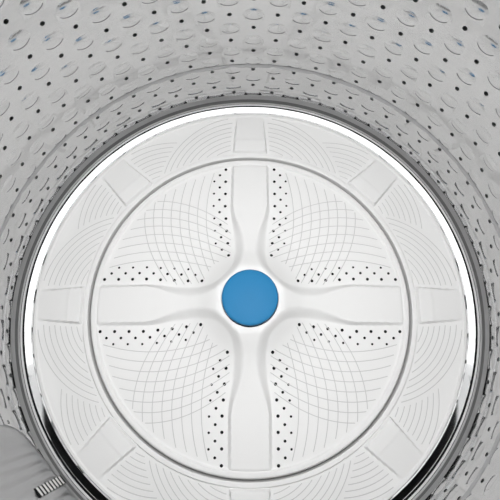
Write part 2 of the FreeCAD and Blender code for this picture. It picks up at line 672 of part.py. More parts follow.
def makePump():
    x = "pump_x"
    volute = rod("pump_volute", 31, 30, (x, -98, "pump_z"), "y")
    inlet = rod("pump_inlet", 16.5, 20, (x, -117, "pump_z"), "y")
    outlet = rod("pump_outlet", 11, 52, (f"{x} - 52", -84, "pump_z - 18"), "x")
    can = rod("pump_can", 26, 54, (x, -68, "pump_z"), "y")
    chamber = rod("pump_chamber", 24, 22, (x, -94, "pump_z"), "y")
    inletBore = rod("pump_inlet_bore", 12, 40, (x, -125, "pump_z"), "y")
    outletBore = rod("pump_outlet_bore", 7.5, 50, (f"{x} - 60", -84, "pump_z - 18"), "x")
    keep("drain_pump", cut("pump", join("pump_solid", volute, inlet, outlet, can), chamber, inletBore, outletBore))
    hub = rod("pump_hub", 6, 15, (x, -89, "pump_z"), "y")
    blades = [
        block("pump_blade_flat", (42, 12, 2), (f"{x} - 21", -87, "pump_z - 1")),
        block("pump_blade_upright", (2, 12, 42), (f"{x} - 1", -87, "pump_z - 21")),
    ]
    keep("pump_rotor", join("pump_wheel", hub, *blades))
    plate = block("pump_plate", (70, 6, "tub_floor + 6 - pump_z - 26"), (f"{x} - 35", -50, "pump_z + 26"))
    saddle = block("pump_saddle", (30, 40, 4), (f"{x} - 15", -62, "pump_z + 25"))
    clear = rod("pump_saddle_clear", 26, 90, (x, -100, "pump_z"), "y")
    keep("pump_bracket", cut("pump_hanger", join("pump_hanger_body", plate, saddle), clear))
    keep("sump_hose", shaped("hose", hoseShape()))


def hoseShape():
    """From the tub's sump stub down and round to the pump's inlet, one large bend."""
    x = number("pump_x")
    level = number("pump_z")
    bend = 38
    top = FreeCAD.Vector(x, -150, 258)
    start = FreeCAD.Vector(x, -150, level + bend)
    middle = FreeCAD.Vector(x, -150 + bend * (1 - math.sqrt(0.5)), level + bend * (1 - math.sqrt(0.5)))
    end = FreeCAD.Vector(x, -150 + bend, level)
    last = FreeCAD.Vector(x, -102, level)
    spine = Part.Wire([
        Part.LineSegment(top, start).toShape(), Part.Arc(start, middle, end).toShape(),
        Part.LineSegment(end, last).toShape(),
    ])
    def sleeve(radius):
        ring = Part.Wire(Part.makeCircle(radius, top, FreeCAD.Vector(0, 0, -1)))
        return spine.makePipeShell([ring], True, True)
    return sleeve(19.8).cut(sleeve(16.8))


# ---------------------------------------------------------------- basket and impeller

def makeBasket():
    outer = "basket_radius + basket_wall"
    keep("basket_wall", turned("basket_turn", [
        ("basket_radius - 14", "basket_floor"), (outer, "basket_floor"), (outer, "basket_top"),
        ("basket_radius", "basket_top"), ("basket_radius", "basket_floor + basket_wall"),
        ("basket_radius - 14", "basket_floor + basket_wall"),
    ]))
    keep("basket_base", turned("base_turn", [
        ("tube_radius", "basket_floor - 3"), (90, "basket_floor - 3"), (100, "basket_floor - 7"),
        (250, "basket_floor - 7"), (258, "basket_floor - 3"), (outer, "basket_floor - 3"),
        (outer, "basket_floor"), (256, "basket_floor"), (248, "basket_floor - 4"), (102, "basket_floor - 4"),
        (92, "basket_floor"), ("tube_radius", "basket_floor"),
    ]))
    keep("basket_hub", turned("hub_turn", [
        ("tube_radius", 312), (30, 312), (78, "basket_floor - 10"), (86, "basket_floor - 3"),
        ("tube_radius", "basket_floor - 3"),
    ]))
    keep("hub_nut", turned("hub_nut_turn", [
        ("tube_radius", "basket_floor"), (30, "basket_floor"), (30, "basket_floor + 4"),
        ("tube_radius", "basket_floor + 4"),
    ]))
    keep("balance_ring", turned("balance_turn", [
        (228, 812), (236, 800), ("basket_radius - 0.2", 800), ("basket_radius - 0.2", "basket_top"),
        ("basket_radius + 5", "basket_top"), ("basket_radius + 5", "basket_top + 8"),
        (240, "basket_top + 10"), (230, "basket_top + 4"),
    ]))
    keep("floor_trim_ring", turned("trim_turn", [
        ("plate_radius + 0.4", "basket_floor + basket_wall"), ("basket_radius - 0.2", "basket_floor + basket_wall"),
        ("basket_radius - 0.2", "plate_level + 13"), ("basket_radius - 3.2", "plate_level + 13"),
        ("basket_radius - 4.2", "plate_level + 9"), ("plate_radius + 2", "plate_level + 3"),
        ("plate_radius + 0.4", "plate_level + 1"),
    ]))


def crossOutline(name, count, width, start, reach, height, taper):
    """Straight arms crossing the axis, as a solid standing on the floor of the basket."""
    arm = padded(f"{name}_arm", "XY_Plane", [
        (start, f"-{width} / 2"), (reach, f"-({width} - {taper}) / 2"), (reach, f"({width} - {taper}) / 2"),
        (start, f"{width} / 2"),
    ], "basket_floor + 6", height)
    return join(f"{name}_arms", *around(name, arm, count))


def makeWashRing():
    inner = "impeller_radius + groove"
    low = "basket_floor + basket_wall + 0.2"
    dish = turned("ring_dish", [
        (inner, "plate_level - 5"), (inner, "plate_level - 0.6"), (f"{inner} + 1", "plate_level"),
        (f"{inner} + 6", "plate_level"), (f"{inner} + 9", "plate_level - 2"), (228, "plate_level - 2.5"),
        ("plate_radius - 6", "plate_level"), ("plate_radius", "plate_level + 1"), ("plate_radius", low),
        ("plate_radius - 3", low), ("plate_radius - 3", "plate_level - 4"), (228, "plate_level - 6"),
    ])
    crown = turned("ring_crown", [
        (f"{inner} + 5", "plate_level - 3"), (f"{inner} + 7", "plate_level + 3"), (f"{inner} + 22", "plate_level + 3.5"),
        ("plate_radius - 4", "plate_level + 1.5"), ("plate_radius - 3", "plate_level - 3"),
    ])
    arms = crossOutline("ring_pad", 8, "pad_width", 190, 251, 30, 8)
    keep("wash_ring", join("ring", dish, overlap("ring_pads", crown, arms)))


def makeImpeller():
    rim = "impeller_radius"
    dish = turned("impeller_dish", [
        ("shaft_radius + 0.1", 342), (22, 342), (22, 372), (34, 368), (58, 356), (112, 343), (170, 337.6),
        (f"{rim} - 2.5", 337.6), (f"{rim} - 2.5", 336.6), (rim, 336.6), (rim, "plate_level - 0.6"),
        (f"{rim} - 1", "plate_level"), (f"{rim} - 8", "plate_level"), (f"{rim} - 11", "plate_level - 2.5"),
        (150, "plate_level - 2"), (112, "plate_level + 2"), (75, "plate_level + 9"), (52, "plate_level + 18"),
        (40, "plate_level + 34"), (34, "hub_top - 6"), (31.5, "hub_top - 1"), ("cap_radius + 0.2", "hub_top"),
        ("cap_radius + 0.2", "hub_top - 5"), (20, "hub_top - 5"), (20, 366), ("shaft_radius + 0.1", 366),
    ])
    crown = turned("vane_crown", [
        (30, "plate_level - 2"), (38, "plate_level + 48"), (46, "plate_level + 34"), (57, "plate_level + 26"),
        (85, "plate_level + 14"), (113, "plate_level + 8.5"), (150, "plate_level + 3.6"),
        (f"{rim} - 9", "plate_level + 0.2"), (f"{rim} - 9.5", "plate_level - 3"),
        (112, "plate_level"), (60, "plate_level + 8"),
    ])
    arms = crossOutline("vane", 4, 14, 30, 66, 90, -8)
    blades = crossOutline("blade", 4, 22, 64, 181, 90, -20)
    vanes = overlap("vanes", crown, join("vane_plan", arms, blades))
    keep("impeller", join("impeller_body", dish, vanes))
    keep("impeller_cap", turned("cap_turn", [
        (0, "hub_top - 4.8"), ("cap_radius", "hub_top - 4.8"), ("cap_radius", "hub_top + 0.6"),
        ("cap_radius - 1", "hub_top + 1.4"), (16, "hub_top + 2.6"), (0, "hub_top + 3"),
    ]))
    head = hexagon("screw_head", 9, 8, (0, 0, 368))
    washer = rod("screw_washer", 15, 2, (0, 0, 366))
    thread = rod("screw_thread", 4, 26, (0, 0, 342))
    keep("impeller_screw", join("screw", head, washer, thread))


def build():
    for make in (makeCabinet, makeRearPanel, makeBase, makeFeet, makeBraces, makeDeck, makeFunnel, makeLid,
                 makeHinges, makeLock, makeConsole, makeFascia, makeControls, makeRearServices,
                 makeSuspension, makeTub, makeDrive, makePump, makeBasket, makeWashRing, makeImpeller):
        make()
        doc.recompute()
        print("made", make.__name__[4:])


def check():
    failed = [item.Label for item in doc.Objects if {"Invalid", "Error"} & set(item.State)]
    failed += [node for node, item in nodes.items() if item.Shape.isNull() or not item.Shape.isValid()]
    if failed:
        raise RuntimeError(f"failed: {failed}")


build()
check()
for node, item in nodes.items():
    item.Shape.exportStep(f"parts/{node}.step")
    box = item.Shape.BoundBox
    print(f"{node:26s} solids {len(item.Shape.Solids):2d}  volume {item.Shape.Volume / 1000:9.1f} cm3",
          f"z {box.ZMin:7.1f} to {box.ZMax:7.1f}")
print("nodes", len(nodes))
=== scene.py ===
import json
import math

import bmesh
import bpy
import numpy as np
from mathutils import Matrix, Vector


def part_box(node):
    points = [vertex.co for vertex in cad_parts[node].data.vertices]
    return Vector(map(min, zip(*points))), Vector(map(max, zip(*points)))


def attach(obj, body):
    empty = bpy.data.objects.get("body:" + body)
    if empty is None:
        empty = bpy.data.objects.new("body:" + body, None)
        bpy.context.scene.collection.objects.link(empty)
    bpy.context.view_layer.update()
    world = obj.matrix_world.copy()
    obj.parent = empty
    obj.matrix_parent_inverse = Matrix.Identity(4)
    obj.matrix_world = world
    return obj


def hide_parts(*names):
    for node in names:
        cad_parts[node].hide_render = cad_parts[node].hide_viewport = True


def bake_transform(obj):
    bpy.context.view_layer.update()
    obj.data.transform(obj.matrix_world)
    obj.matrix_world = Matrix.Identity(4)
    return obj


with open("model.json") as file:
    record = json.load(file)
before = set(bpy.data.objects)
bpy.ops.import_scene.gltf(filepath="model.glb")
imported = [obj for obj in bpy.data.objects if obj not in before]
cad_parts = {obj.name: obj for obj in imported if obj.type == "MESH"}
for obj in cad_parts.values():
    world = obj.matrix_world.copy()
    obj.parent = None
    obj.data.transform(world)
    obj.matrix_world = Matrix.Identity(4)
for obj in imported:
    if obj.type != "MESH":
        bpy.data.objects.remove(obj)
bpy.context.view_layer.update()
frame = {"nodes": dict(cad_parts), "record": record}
print("frame loaded:", len(frame["nodes"]), "nodes")

mm = 0.001
grooveRadius = 0.189  # the parting line between the wash plate and the ring round it
plateLevel = 0.345  # height of that line above the floor
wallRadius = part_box("basket_wall")[1].x - mm
slotOf = {row["node"]: row["material_slot"] for row in frame["record"]["subparts"]}


# shader maths: a socket that can be added, multiplied and compared

class Wire:
    def __init__(self, tree, socket):
        self.tree = tree
        self.socket = socket

    def node(self, kind, settings=None, inputs=None, output=0):
        made = self.tree.nodes.new(kind)
        for name, value in (settings or {}).items():
            setattr(made, name, value)
        for name, value in (inputs or {}).items():
            self.feed(made.inputs[name], value)
        return Wire(self.tree, made.outputs[output])

    def feed(self, socket, value):
        if isinstance(value, Wire):
            self.tree.links.new(value.socket, socket)
        else:
            socket.default_value = value

    def math(self, operation, *others):
        return self.node("ShaderNodeMath", {"operation": operation}, dict(enumerate((self, *others))))

    def __add__(self, other): return self.math("ADD", other)
    def __radd__(self, other): return self.math("ADD", other)
    def __sub__(self, other): return self.math("SUBTRACT", other)
    def __mul__(self, other): return self.math("MULTIPLY", other)
    def __rmul__(self, other): return self.math("MULTIPLY", other)
    def __gt__(self, other): return self.math("GREATER_THAN", other)
    def __lt__(self, other): return self.math("LESS_THAN", other)

    def __rsub__(self, other):
        return self.node("ShaderNodeMath", {"operation": "SUBTRACT"}, {0: other, 1: self})

    def within(self, low, high, toLow=0.0, toHigh=1.0):
        limits = {"Value": self, "From Min": low, "From Max": high, "To Min": toLow, "To Max": toHigh}
        return self.node("ShaderNodeMapRange", {"interpolation_type": "SMOOTHSTEP"}, limits)

    def mix(self, first, second):
        return self.node("ShaderNodeMix", {"data_type": "RGBA"}, {0: self, 6: first, 7: second}, output=2)


def objectPlace(here):
    return here.node("ShaderNodeTexCoord", output=3)


def objectAxes(here):
    part = here.node("ShaderNodeSeparateXYZ", None, {"Vector": objectPlace(here)})
    return [Wire(here.tree, out) for out in part.socket.node.outputs]


# one recipe for every finish: colour, roughness and bump vary, the rest is set on the shader

def finish(name, colour, roughness, metallic=0.0, speckle=0.0, grainScale=900.0, bump=0.0, smudge=0.06,
           coat=0.0, extra=None, **fixed):
    material = bpy.data.materials.new(name)
    material.use_nodes = True
    tree = material.node_tree
    shader = tree.nodes["Principled BSDF"]
    here = Wire(tree, None)
    place = objectPlace(here)
    grain = here.node("ShaderNodeTexNoise", None, {"Vector": place, "Scale": grainScale, "Detail": 3.0})
    cloud = here.node("ShaderNodeTexNoise", None, {"Vector": place, "Scale": 9.0, "Detail": 4.0})
    pale = *(min(1.0, part * (1 + speckle) + speckle * 0.02) for part in colour), 1
    deep = *(part * (1 - speckle) for part in colour), 1
    tone = (grain * 0.5 + cloud * 0.5).within(0.35, 0.65).mix(deep, pale)
    rough = cloud.within(0.3, 0.7, roughness * (1 - smudge), roughness * (1 + smudge))
    height = grain
    if extra:
        tone, rough, height = extra(here, tone, rough, height)
    here.feed(shader.inputs["Base Color"], tone)
    here.feed(shader.inputs["Roughness"], rough)
    if bump:
        normal = here.node("ShaderNodeBump", None, {"Height": height, "Distance": bump, "Strength": 0.6})
        here.feed(shader.inputs["Normal"], normal)
    shader.inputs["Metallic"].default_value = metallic
    shader.inputs["Coat Weight"].default_value = coat
    for socket, value in fixed.items():
        shader.inputs[socket.replace("_", " ")].default_value = value
    return material


# mesh helpers

def makePiece(name, points, faces, body, material, slot, replaces=(), sharp=40.0, paint=None):
    # material is one finish or a list of them, and paint then says which one each face takes
    mesh = bpy.data.meshes.new(name)
    mesh.from_pydata(points.reshape(-1, 3).tolist(), [], faces.tolist())
    for each in material if isinstance(material, list) else [material]:
        mesh.materials.append(each)
    if paint is not None:
        mesh.polygons.foreach_set("material_index", paint.astype(np.int32))
    work = bmesh.new()
    work.from_mesh(mesh)
    bmesh.ops.remove_doubles(work, verts=work.verts, dist=1e-6)
    work.to_mesh(mesh)
    work.free()
    mesh.validate()
    mesh.shade_smooth()
    mesh.set_sharp_from_angle(angle=math.radians(sharp))
    piece = bpy.data.objects.new(name, mesh)
    bpy.context.scene.collection.objects.link(piece)
    if body:
        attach(piece, body)
    if replaces:
        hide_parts(*replaces)
    return piece


def gridFaces(rows, columns, wrap=False, flip=False):
    # quads of a rows x columns array of points; wrap joins the last column to the first
    last = columns if wrap else columns - 1
    row, column = np.meshgrid(np.arange(rows - 1), np.arange(last), indexing="ij")
    after = (column + 1) % columns
    quads = np.stack([row * columns + column, row * columns + after,
                      (row + 1) * columns + after, (row + 1) * columns + column], axis=-1).reshape(-1, 4)
    return quads[:, ::-1] if flip else quads


def circle(count):
    return np.linspace(0, 2 * math.pi, count, endpoint=False)


def spot(x, y, z):
    return np.stack(np.broadcast_arrays(x, y, z), axis=-1)


def lathe(profile, count, place=spot, flip=False):
    # each (radius, height) of the profile carried round an axis; place says where its points land
    radius, height = np.array(profile, float).T[..., None]
    angle = circle(count)
    points = place(radius * np.cos(angle), radius * np.sin(angle), height)
    return points.reshape(-1, 3), gridFaces(len(profile), count, wrap=True, flip=flip)


def cellFans(layers, flip=False):
    # each layer holds one closed ring of points for every cell, and quads join neighbouring layers;
    # the last two answers are the layer and the place round the ring of each quad of a cell
    block = np.stack(layers, axis=1)
    cells, depth, ring = block.shape[:3]
    quads = gridFaces(depth, ring, wrap=True, flip=flip)
    faces = (quads[None] + np.arange(cells)[:, None, None] * depth * ring).reshape(-1, 4)
    return block.reshape(-1, 3), faces, *np.divmod(np.arange(len(quads)), ring)


def inGroove(x, y, z):
    # places given in groove radii from the middle of the groove
    return spot(x * grooveRadius, y * grooveRadius, plateLevel + z * grooveRadius)


def sector(x, y, count):
    # distance along and across the nearest of count equal arms, and from the middle
    angle = np.arctan2(y, x)
    radius = np.hypot(x, y)
    half = math.pi / count
    near = np.abs((angle + half) % (half * 2) - half)
    return radius * np.cos(near), radius * np.sin(near), radius


def discTop(start, end, shape, height):
    # rings from start to end in groove radii, carried up by the height formula
    radius = np.linspace(start, end, shape["radialSteps"])
    reach, turn = np.meshgrid(radius, circle(shape["turnSteps"]), indexing="ij")
    x, y = reach * np.cos(turn), reach * np.sin(turn)
    return inGroove(x, y, height(x, y))


def smoothStep(value, low, high):
    share = np.clip((value - low) / (high - low), 0, 1)
    return share * share * (3 - 2 * share)


# extra layers for the finishes that need more than grain and cloud

def spangle(here, tone, rough, height):
    # zinc crystals: flat cells of slightly different grey
    cell = here.node("ShaderNodeTexVoronoi", None, {"Vector": objectPlace(here), "Scale": 190.0}, output=1)
    cell = cell.node("ShaderNodeSeparateColor", None, {"Color": cell})
    return (cell * 0.3).mix(tone, (0.40, 0.42, 0.44, 1)), rough + cell * 0.05, height


def brushed(here, tone, rough, height):
    # fine level scratches round the wall
    drawn = here.node("ShaderNodeMapping", None, {"Vector": objectPlace(here), "Scale": (18, 18, 900)})
    line = here.node("ShaderNodeTexNoise", None, {"Vector": drawn, "Scale": 1.0, "Detail": 2.0})
    return (line * 0.35).mix(tone, (0.50, 0.50, 0.51, 1)), rough + line * 0.05, line


def moulded(here, tone, rough, height):
    # a fine spark-eroded grain with shallow flow marks
    wave = here.node("ShaderNodeTexNoise", None, {"Vector": objectPlace(here), "Scale": 28.0, "Detail": 1.0})
    return tone, rough + (wave - 0.5) * 0.06, height + wave * 0.6


def sandCast(here, tone, rough, height):
    # small round pits
    pit = here.node("ShaderNodeTexVoronoi", None, {"Vector": objectPlace(here), "Scale": 420.0})
    return pit.within(0.0, 0.25).mix((0.30, 0.30, 0.31, 1), tone), rough + pit * 0.1, height + pit


deck = {
    "mouthHalf": (0.2186, 0.1910),  # half width and half depth of the mouth, outside its lip
    "mouthShift": 0.0375,  # its middle is this far in front of the cabinet's
    "underTop": 0.9475,
    "inner": 0.3405,
    "cornerSum": 0.65,
}


def primedUnderShade(here, tone, rough, height):
    # the deck's hidden underside is painted near black, a dark primer that also stands in as painted shade
    # under the deck; the turned-down lip of the mouth is enamelled
    across, along, level = objectAxes(here)
    mouthWide, mouthDeep = deck["mouthHalf"]
    beside = across.math("ABSOLUTE") > mouthWide
    outside = beside.math("MAXIMUM", (along + deck["mouthShift"]).math("ABSOLUTE") > mouthDeep)
    across, along = across.math("ABSOLUTE"), along.math("ABSOLUTE")
    inward = (along < deck["inner"]) * (across < deck["inner"])
    inward = inward * (along + across < deck["cornerSum"])  # not the round corners
    hidden = outside * (level < deck["underTop"]) * inward
    return hidden.mix(tone, (0.03, 0.03, 0.032, 1)), rough + hidden * 0.4, height


enamel = {"colour": (0.80, 0.80, 0.80), "roughness": 0.22, "speckle": 0.006, "grainScale": 420,
          "bump": 0.00003, "coat": 0.5, "smudge": 0.15}
steelWall = finish("steelWall", (0.63, 0.628, 0.625), 0.10, 1.0, speckle=0.02, grainScale=260, bump=0.000004,
        extra=brushed)
steelPlain = finish("steelPlain", (0.56, 0.565, 0.575), 0.24, 1.0, speckle=0.03, bump=0.00001, extra=brushed)
panelSteel = finish("panelSteel", (0.46, 0.46, 0.465), 0.27, 1.0, speckle=0.03, bump=0.00001, extra=brushed)
mirrorSteel = finish("mirrorSteel", (0.90, 0.905, 0.91), 0.03, 1.0, speckle=0.01)
# painted shade: dark steel for the corner where the wall meets the floor
footShadeSteel = finish("footShadeSteel", (0.19, 0.19, 0.19), 0.5, 0.3, speckle=0.03)
recessSteel = finish("recessSteel", (0.80, 0.80, 0.80), 0.35, 0.3, speckle=0.02)
footSteel = finish("footSteel", (0.52, 0.52, 0.52), 0.4, 0.5, speckle=0.02)
# painted shade: a dark steel for the lower arcs of the dimples' lips, and a lighter one for the rows higher
# up
lipShade = finish("lipShade", (0.055, 0.055, 0.056), 0.45, 0.5, speckle=0.1)
lipShadeSoft = finish("lipShadeSoft", (0.24, 0.24, 0.245), 0.4, 0.7, speckle=0.06)
# painted shade: near black for the insides of holes, gaps, seams and slots
holeShade = finish("holeShade", (0.010, 0.010, 0.011), 0.7, speckle=0.1, Specular_IOR_Level=0.1)
palePlastic = finish("palePlastic", (0.760, 0.758, 0.752), 0.5, speckle=0.01, grainScale=1400, bump=0.00001,
        Specular_IOR_Level=0.3)
# painted shade: the grey of the lines stands in for the shade of their relief
ridgeShadeLine = finish("ridgeShadeLine", (0.52, 0.518, 0.514), 0.5, speckle=0.02, Specular_IOR_Level=0.3)
blueCap = finish("blueCap", (0.020, 0.165, 0.345), 0.45, speckle=0.03, grainScale=1100, bump=0.00001,
        Specular_IOR_Level=0.2)
# the deck's enamel, with painted shade on its underside
deckEnamelUnderShade = finish("deckEnamelUnderShade", **enamel, extra=primedUnderShade)
printWhite = finish("printWhite", (0.70, 0.70, 0.70), 0.5, speckle=0.02)
lampOff = finish("lampOff", (0.20, 0.22, 0.24), 0.25, speckle=0.05, coat=0.5)
lampLit = finish("lampLit", (0.45, 0.66, 0.80), 0.3, speckle=0.02, Emission_Color=(0.35, 0.72, 1.0, 1),
        Emission_Strength=0.5)
finishes = {
    "white_enamel": finish("whiteEnamel", **enamel),
    "galvanised": finish("galvanised", (0.56, 0.58, 0.60), 0.42, 0.9, speckle=0.05, extra=spangle),
    "zinc_steel": finish("zincSteel", (0.62, 0.62, 0.60), 0.32, 1.0, speckle=0.06, grainScale=600,
            bump=0.00002),
    "white_plastic": finish("whitePlastic", (0.80, 0.80, 0.80), 0.34, speckle=0.006, grainScale=1500,
            bump=0.00002, extra=moulded),
    "panel_black": finish("panelBlack", (0.016, 0.017, 0.020), 0.16, speckle=0.05, coat=0.6, smudge=0.2),
    "display_glass": finish("displayGlass", (0.006, 0.008, 0.012), 0.06, speckle=0.1, coat=1.0, smudge=0.3),
    "button_grey": finish("buttonGrey", (0.42, 0.43, 0.45), 0.34, speckle=0.02, grainScale=1500,
            bump=0.00001),
    "knob_silver": finish("knobSilver", (0.68, 0.69, 0.71), 0.26, 0.85, speckle=0.02, grainScale=900,
            bump=0.00001),
    "rubber": finish("rubberBlack", (0.028, 0.028, 0.029), 0.72, speckle=0.12, grainScale=1300,
            bump=0.00004),
    "basket_steel": steelPlain,
    "mirror_steel": mirrorSteel,
    "pale_plastic": palePlastic,
    "blue_plastic": blueCap,
    "ring_plastic": finish("ringPlastic", (0.60, 0.61, 0.62), 0.45, speckle=0.015, bump=0.00002,
            extra=moulded),
    "tub_plastic": finish("tubPlastic", (0.62, 0.63, 0.645), 0.48, speckle=0.03, bump=0.00004, extra=moulded),
    "cast_alloy": finish("castAlloy", (0.52, 0.52, 0.53), 0.45, 0.9, speckle=0.05, bump=0.00005,
            extra=sandCast),
    "bearing_steel": finish("bearingSteel", (0.55, 0.55, 0.56), 0.2, 1.0, speckle=0.04, grainScale=700,
            bump=0.00001),
    "motor_grey": finish("motorGrey", (0.13, 0.135, 0.145), 0.4, speckle=0.08, grainScale=500, bump=0.00003,
            coat=0.2),
    "dark_plastic": finish("darkPlastic", (0.055, 0.055, 0.06), 0.5, speckle=0.08, grainScale=1300,
            bump=0.00003, extra=moulded),
}


glass = {"border": 0.012, "clearAlpha": 0.26}


def makeGlass():
    # lightly green tempered glass, mostly clear, with an opaque printed border
    low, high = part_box("lid_glass")
    material = finish("lidGlass", (0.72, 0.80, 0.80), 0.05, speckle=0.01, smudge=0.3, Specular_IOR_Level=0.8)
    shader = material.node_tree.nodes["Principled BSDF"]
    here = Wire(material.node_tree, None)
    across, along, level = objectAxes(here)
    edge = glass["border"]
    border = (across.math("ABSOLUTE") > high.x - edge).math("MAXIMUM", level > high.z - edge)
    border = border.math("MAXIMUM", level < low.z + edge)
    tone = Wire(here.tree, shader.inputs["Base Color"].links[0].from_socket)
    here.feed(shader.inputs["Base Color"], border.mix(tone, (0.02, 0.02, 0.022, 1)))
    here.feed(shader.inputs["Alpha"], border * (1 - glass["clearAlpha"]) + glass["clearAlpha"])
    return material


finishes["lid_glass"] = makeGlass()
ownFinish = {"top_deck": deckEnamelUnderShade, "basket_wall": steelWall}


def dressNodes():
    # every part of the frame takes the finish of its material slot
    for name, part in frame["nodes"].items():
        part.data.materials.clear()
        part.data.materials.append(ownFinish.get(name) or finishes[slotOf[name]])
    print("frame dressed:", len(frame["nodes"]), "nodes")


# perforated and dimpled basket wall

wall = {
    "columns": 70,  # half pitches round the wall, a hole and a dimple by turns
    "firstHole": 5.93,  # degrees from the back, clockwise from above
    "sideSteps": 6,  # mesh steps along each side of a cell
    "holeRadius": 2.3 * mm,
    "dimpleWide": 10.4 * mm,
    "dimpleTall": 6.2 * mm,
    "dimpleGrowth": 0.22 * mm,  # taller by this from row to row
    "dimpleDepth": 1.0 * mm,
    "lip": 0.17,  # share of the height that the firm lower lip takes
    "lipSide": 0.98,  # the lip runs out to nothing at the sides
    "sheet": 1.0 * mm,
    "rows": 24,
    "splitRow": 12,
    "softRow": 4,  # from this row up the painted shade on the lips is lighter
    "bandTop": 7.0 * mm,  # above the groove: the wall's foot, painted dark as the shade in the corner by the floor
    "beltRow": 3.42,
    "beltRise": 0.4 * mm,
    "beltHalf": (3.4 * mm, 2.6 * mm),  # half height at the belt's foot and at its top
    "growthRows": 11,  # rows over which the pitch and the dimples grow
    "segments": 420,
}
halfStep = math.pi / wall["columns"]


def rowLevel(row):
    # heights of the rows: the pitch grows slowly up to the twelfth row and then stays
    low = np.minimum(row, wall["growthRows"])
    return plateLevel + grooveRadius * (0.1258 + 0.0735 * low + 0.00165 * low ** 2 + 0.110 * (row - low))


def squareRing(steps):
    # points round a square from -1 to 1, steps to each side, with the angle of each
    side = np.linspace(-1, 1, steps, endpoint=False)
    one = np.ones(steps)
    u = np.concatenate([side, one, -side, -one])
    v = np.concatenate([-one, side, one, -side])
    return u, v


def wallGrid(firstRow, lastRow):
    # of every cell: its row, middle level, half heights up and down, azimuth, and whether it is a hole
    row, column = np.meshgrid(np.arange(firstRow, lastRow), np.arange(wall["columns"]), indexing="ij")
    row, column = row.ravel(), column.ravel()
    level = rowLevel(row)
    up = (rowLevel(row + 1) - level) / 2
    down = np.where(row > 0, (level - rowLevel(np.maximum(row - 1, 0))) / 2, up)
    azimuth = math.radians(wall["firstHole"]) + column * 2 * halfStep
    return row, level, up, down, azimuth, (row + column) % 2 == 0


def cellBorder(u, v, up, down):
    return np.stack([np.broadcast_to(u * halfStep * wallRadius, (len(up), len(u))),
                     np.where(v > 0, v * up[:, None], v * down[:, None])], axis=-1)


def onWall(place, depth, azimuth, level):
    # places given across and up lie on the round wall, depth outside its inner face
    around = azimuth[:, None] + place[..., 0] / wallRadius
    radius = wallRadius + depth
    return spot(np.sin(around) * radius, np.cos(around) * radius, level[:, None] + place[..., 1])


def wallCells(firstRow, lastRow):
    # every cell is a fan of rings between its four-sided border and an ellipse; a hole ends in
    # a short collar through the sheet, a dimple closes over a shallow dome
    u, v = squareRing(wall["sideSteps"])
    turn = np.arctan2(v, u)
    row, level, up, down, azimuth, isHole = wallGrid(firstRow, lastRow)
    parts = []
    for hole in (True, False):
        pick = isHole == hole
        cells = pick.sum()
        wide = wall["holeRadius"] if hole else wall["dimpleWide"]
        growth = wall["dimpleGrowth"] * np.minimum(row[pick], wall["growthRows"])
        tall = np.full(cells, wall["holeRadius"]) if hole else wall["dimpleTall"] + growth
        rim = np.stack([np.broadcast_to(np.cos(turn) * wide, (cells, len(u))), np.sin(turn) * tall[:, None]],
                       axis=-1)
        border = cellBorder(u, v, up[pick], down[pick])
        if hole:
            layers = [(border, 0.0), (border * 0.35 + rim * 0.65, 0.0), (rim, 0.0), (rim * 0.97, 0.3 * mm),
                      (rim * 0.96, wall["sheet"])]
        else:
            lift = np.stack([0 * tall, tall], axis=-1)[:, None] * wall["lip"] / 2
            layers = [(border, 0.0), (rim, 0.0)]
            # share of the ellipse, share of the depth, and how far that is the same all round
            for share, rise, even in ((1.0, 0.5, 0.0), (0.80, 0.78, 0.5), (0.45, 0.96, 1.0), (0.0, 1.0, 1.0)):
                inner = rim * (wall["lipSide"], 1 - wall["lip"] / 2) * share + lift * 0.96
                lean = even + (1 - even) * np.clip(-np.sin(turn), 0, 1)  # the lip is firm below only
                layers.append((inner, -wall["dimpleDepth"] * rise * lean))
        where = azimuth[pick], level[pick]
        points, faces, layer, side = cellFans([onWall(place, depth, *where) for place, depth in layers])
        # painted shade: the lower arc of each dimple's lip is dark, lighter from the soft row up
        below = (np.sin(turn) + np.sin(np.roll(turn, -1)))[side] / 2 < -0.6  # the lip's lower arc
        # painted shade: the collar inside each hole is near black
        tint = np.where(layer == len(layers) - 2, 2, 0) if hole else np.where((layer == 1) & below, 1, 0)
        tint = np.tile(tint, (cells, 1))
        soft = (row[pick] >= wall["softRow"])[:, None]
        parts.append((points, faces, np.where(soft & (tint == 1), 3, tint).ravel()))
    return joined(*parts)


def plainBand(low, high, radius, flip=False):
    # a strip of the wall with as many steps round as the cells beside it
    steps = wall["columns"] * wall["sideSteps"]
    angle = math.radians(wall["firstHole"]) - halfStep + np.arange(steps) * 2 * math.pi / steps
    x, y = np.sin(angle) * radius, np.cos(angle) * radius
    return np.concatenate([spot(x, y, low), spot(x, y, high)]), gridFaces(2, steps, wrap=True, flip=flip)


def backSkin(firstRow, lastRow):
    # the outer face of the sheet: the same holes, and each dimple as a low bump of four-sided rings
    u, v = squareRing(2)
    turn = np.arctan2(v, u)
    row, level, up, down, azimuth, isHole = wallGrid(firstRow, lastRow)
    hole = isHole[:, None]
    border = cellBorder(u, v, up, down)
    rim = np.stack([np.where(hole, wall["holeRadius"], wall["dimpleWide"]) * np.cos(turn),
                    np.where(hole, wall["holeRadius"], wall["dimpleTall"]) * np.sin(turn)], axis=-1)
    rise = np.where(hole, 0.0, -wall["dimpleDepth"])
    upper = hole[..., None]
    layers = [(border, 0.0), (rim, 0.0), (rim * np.where(upper, 0.999, 0.75), 0.7),
              (rim * np.where(upper, 0.998, 0.0), 1.0)]
    rings = [onWall(place, wall["sheet"] + bump * rise, azimuth, level) for place, bump in layers]
    return cellFans(rings, flip=True)[:2]


def joined(*parts):
    # several (points, faces) or (points, faces, paint) as one
    points, faces, paint, start = [], [], [], 0
    for some, quads, *tint in parts:
        points.append(some)
        faces.append(quads + start)
        paint.append(tint[0] if tint else np.zeros(len(quads)))
        start += len(some)
    return np.concatenate(points), np.concatenate(faces), np.concatenate(paint)


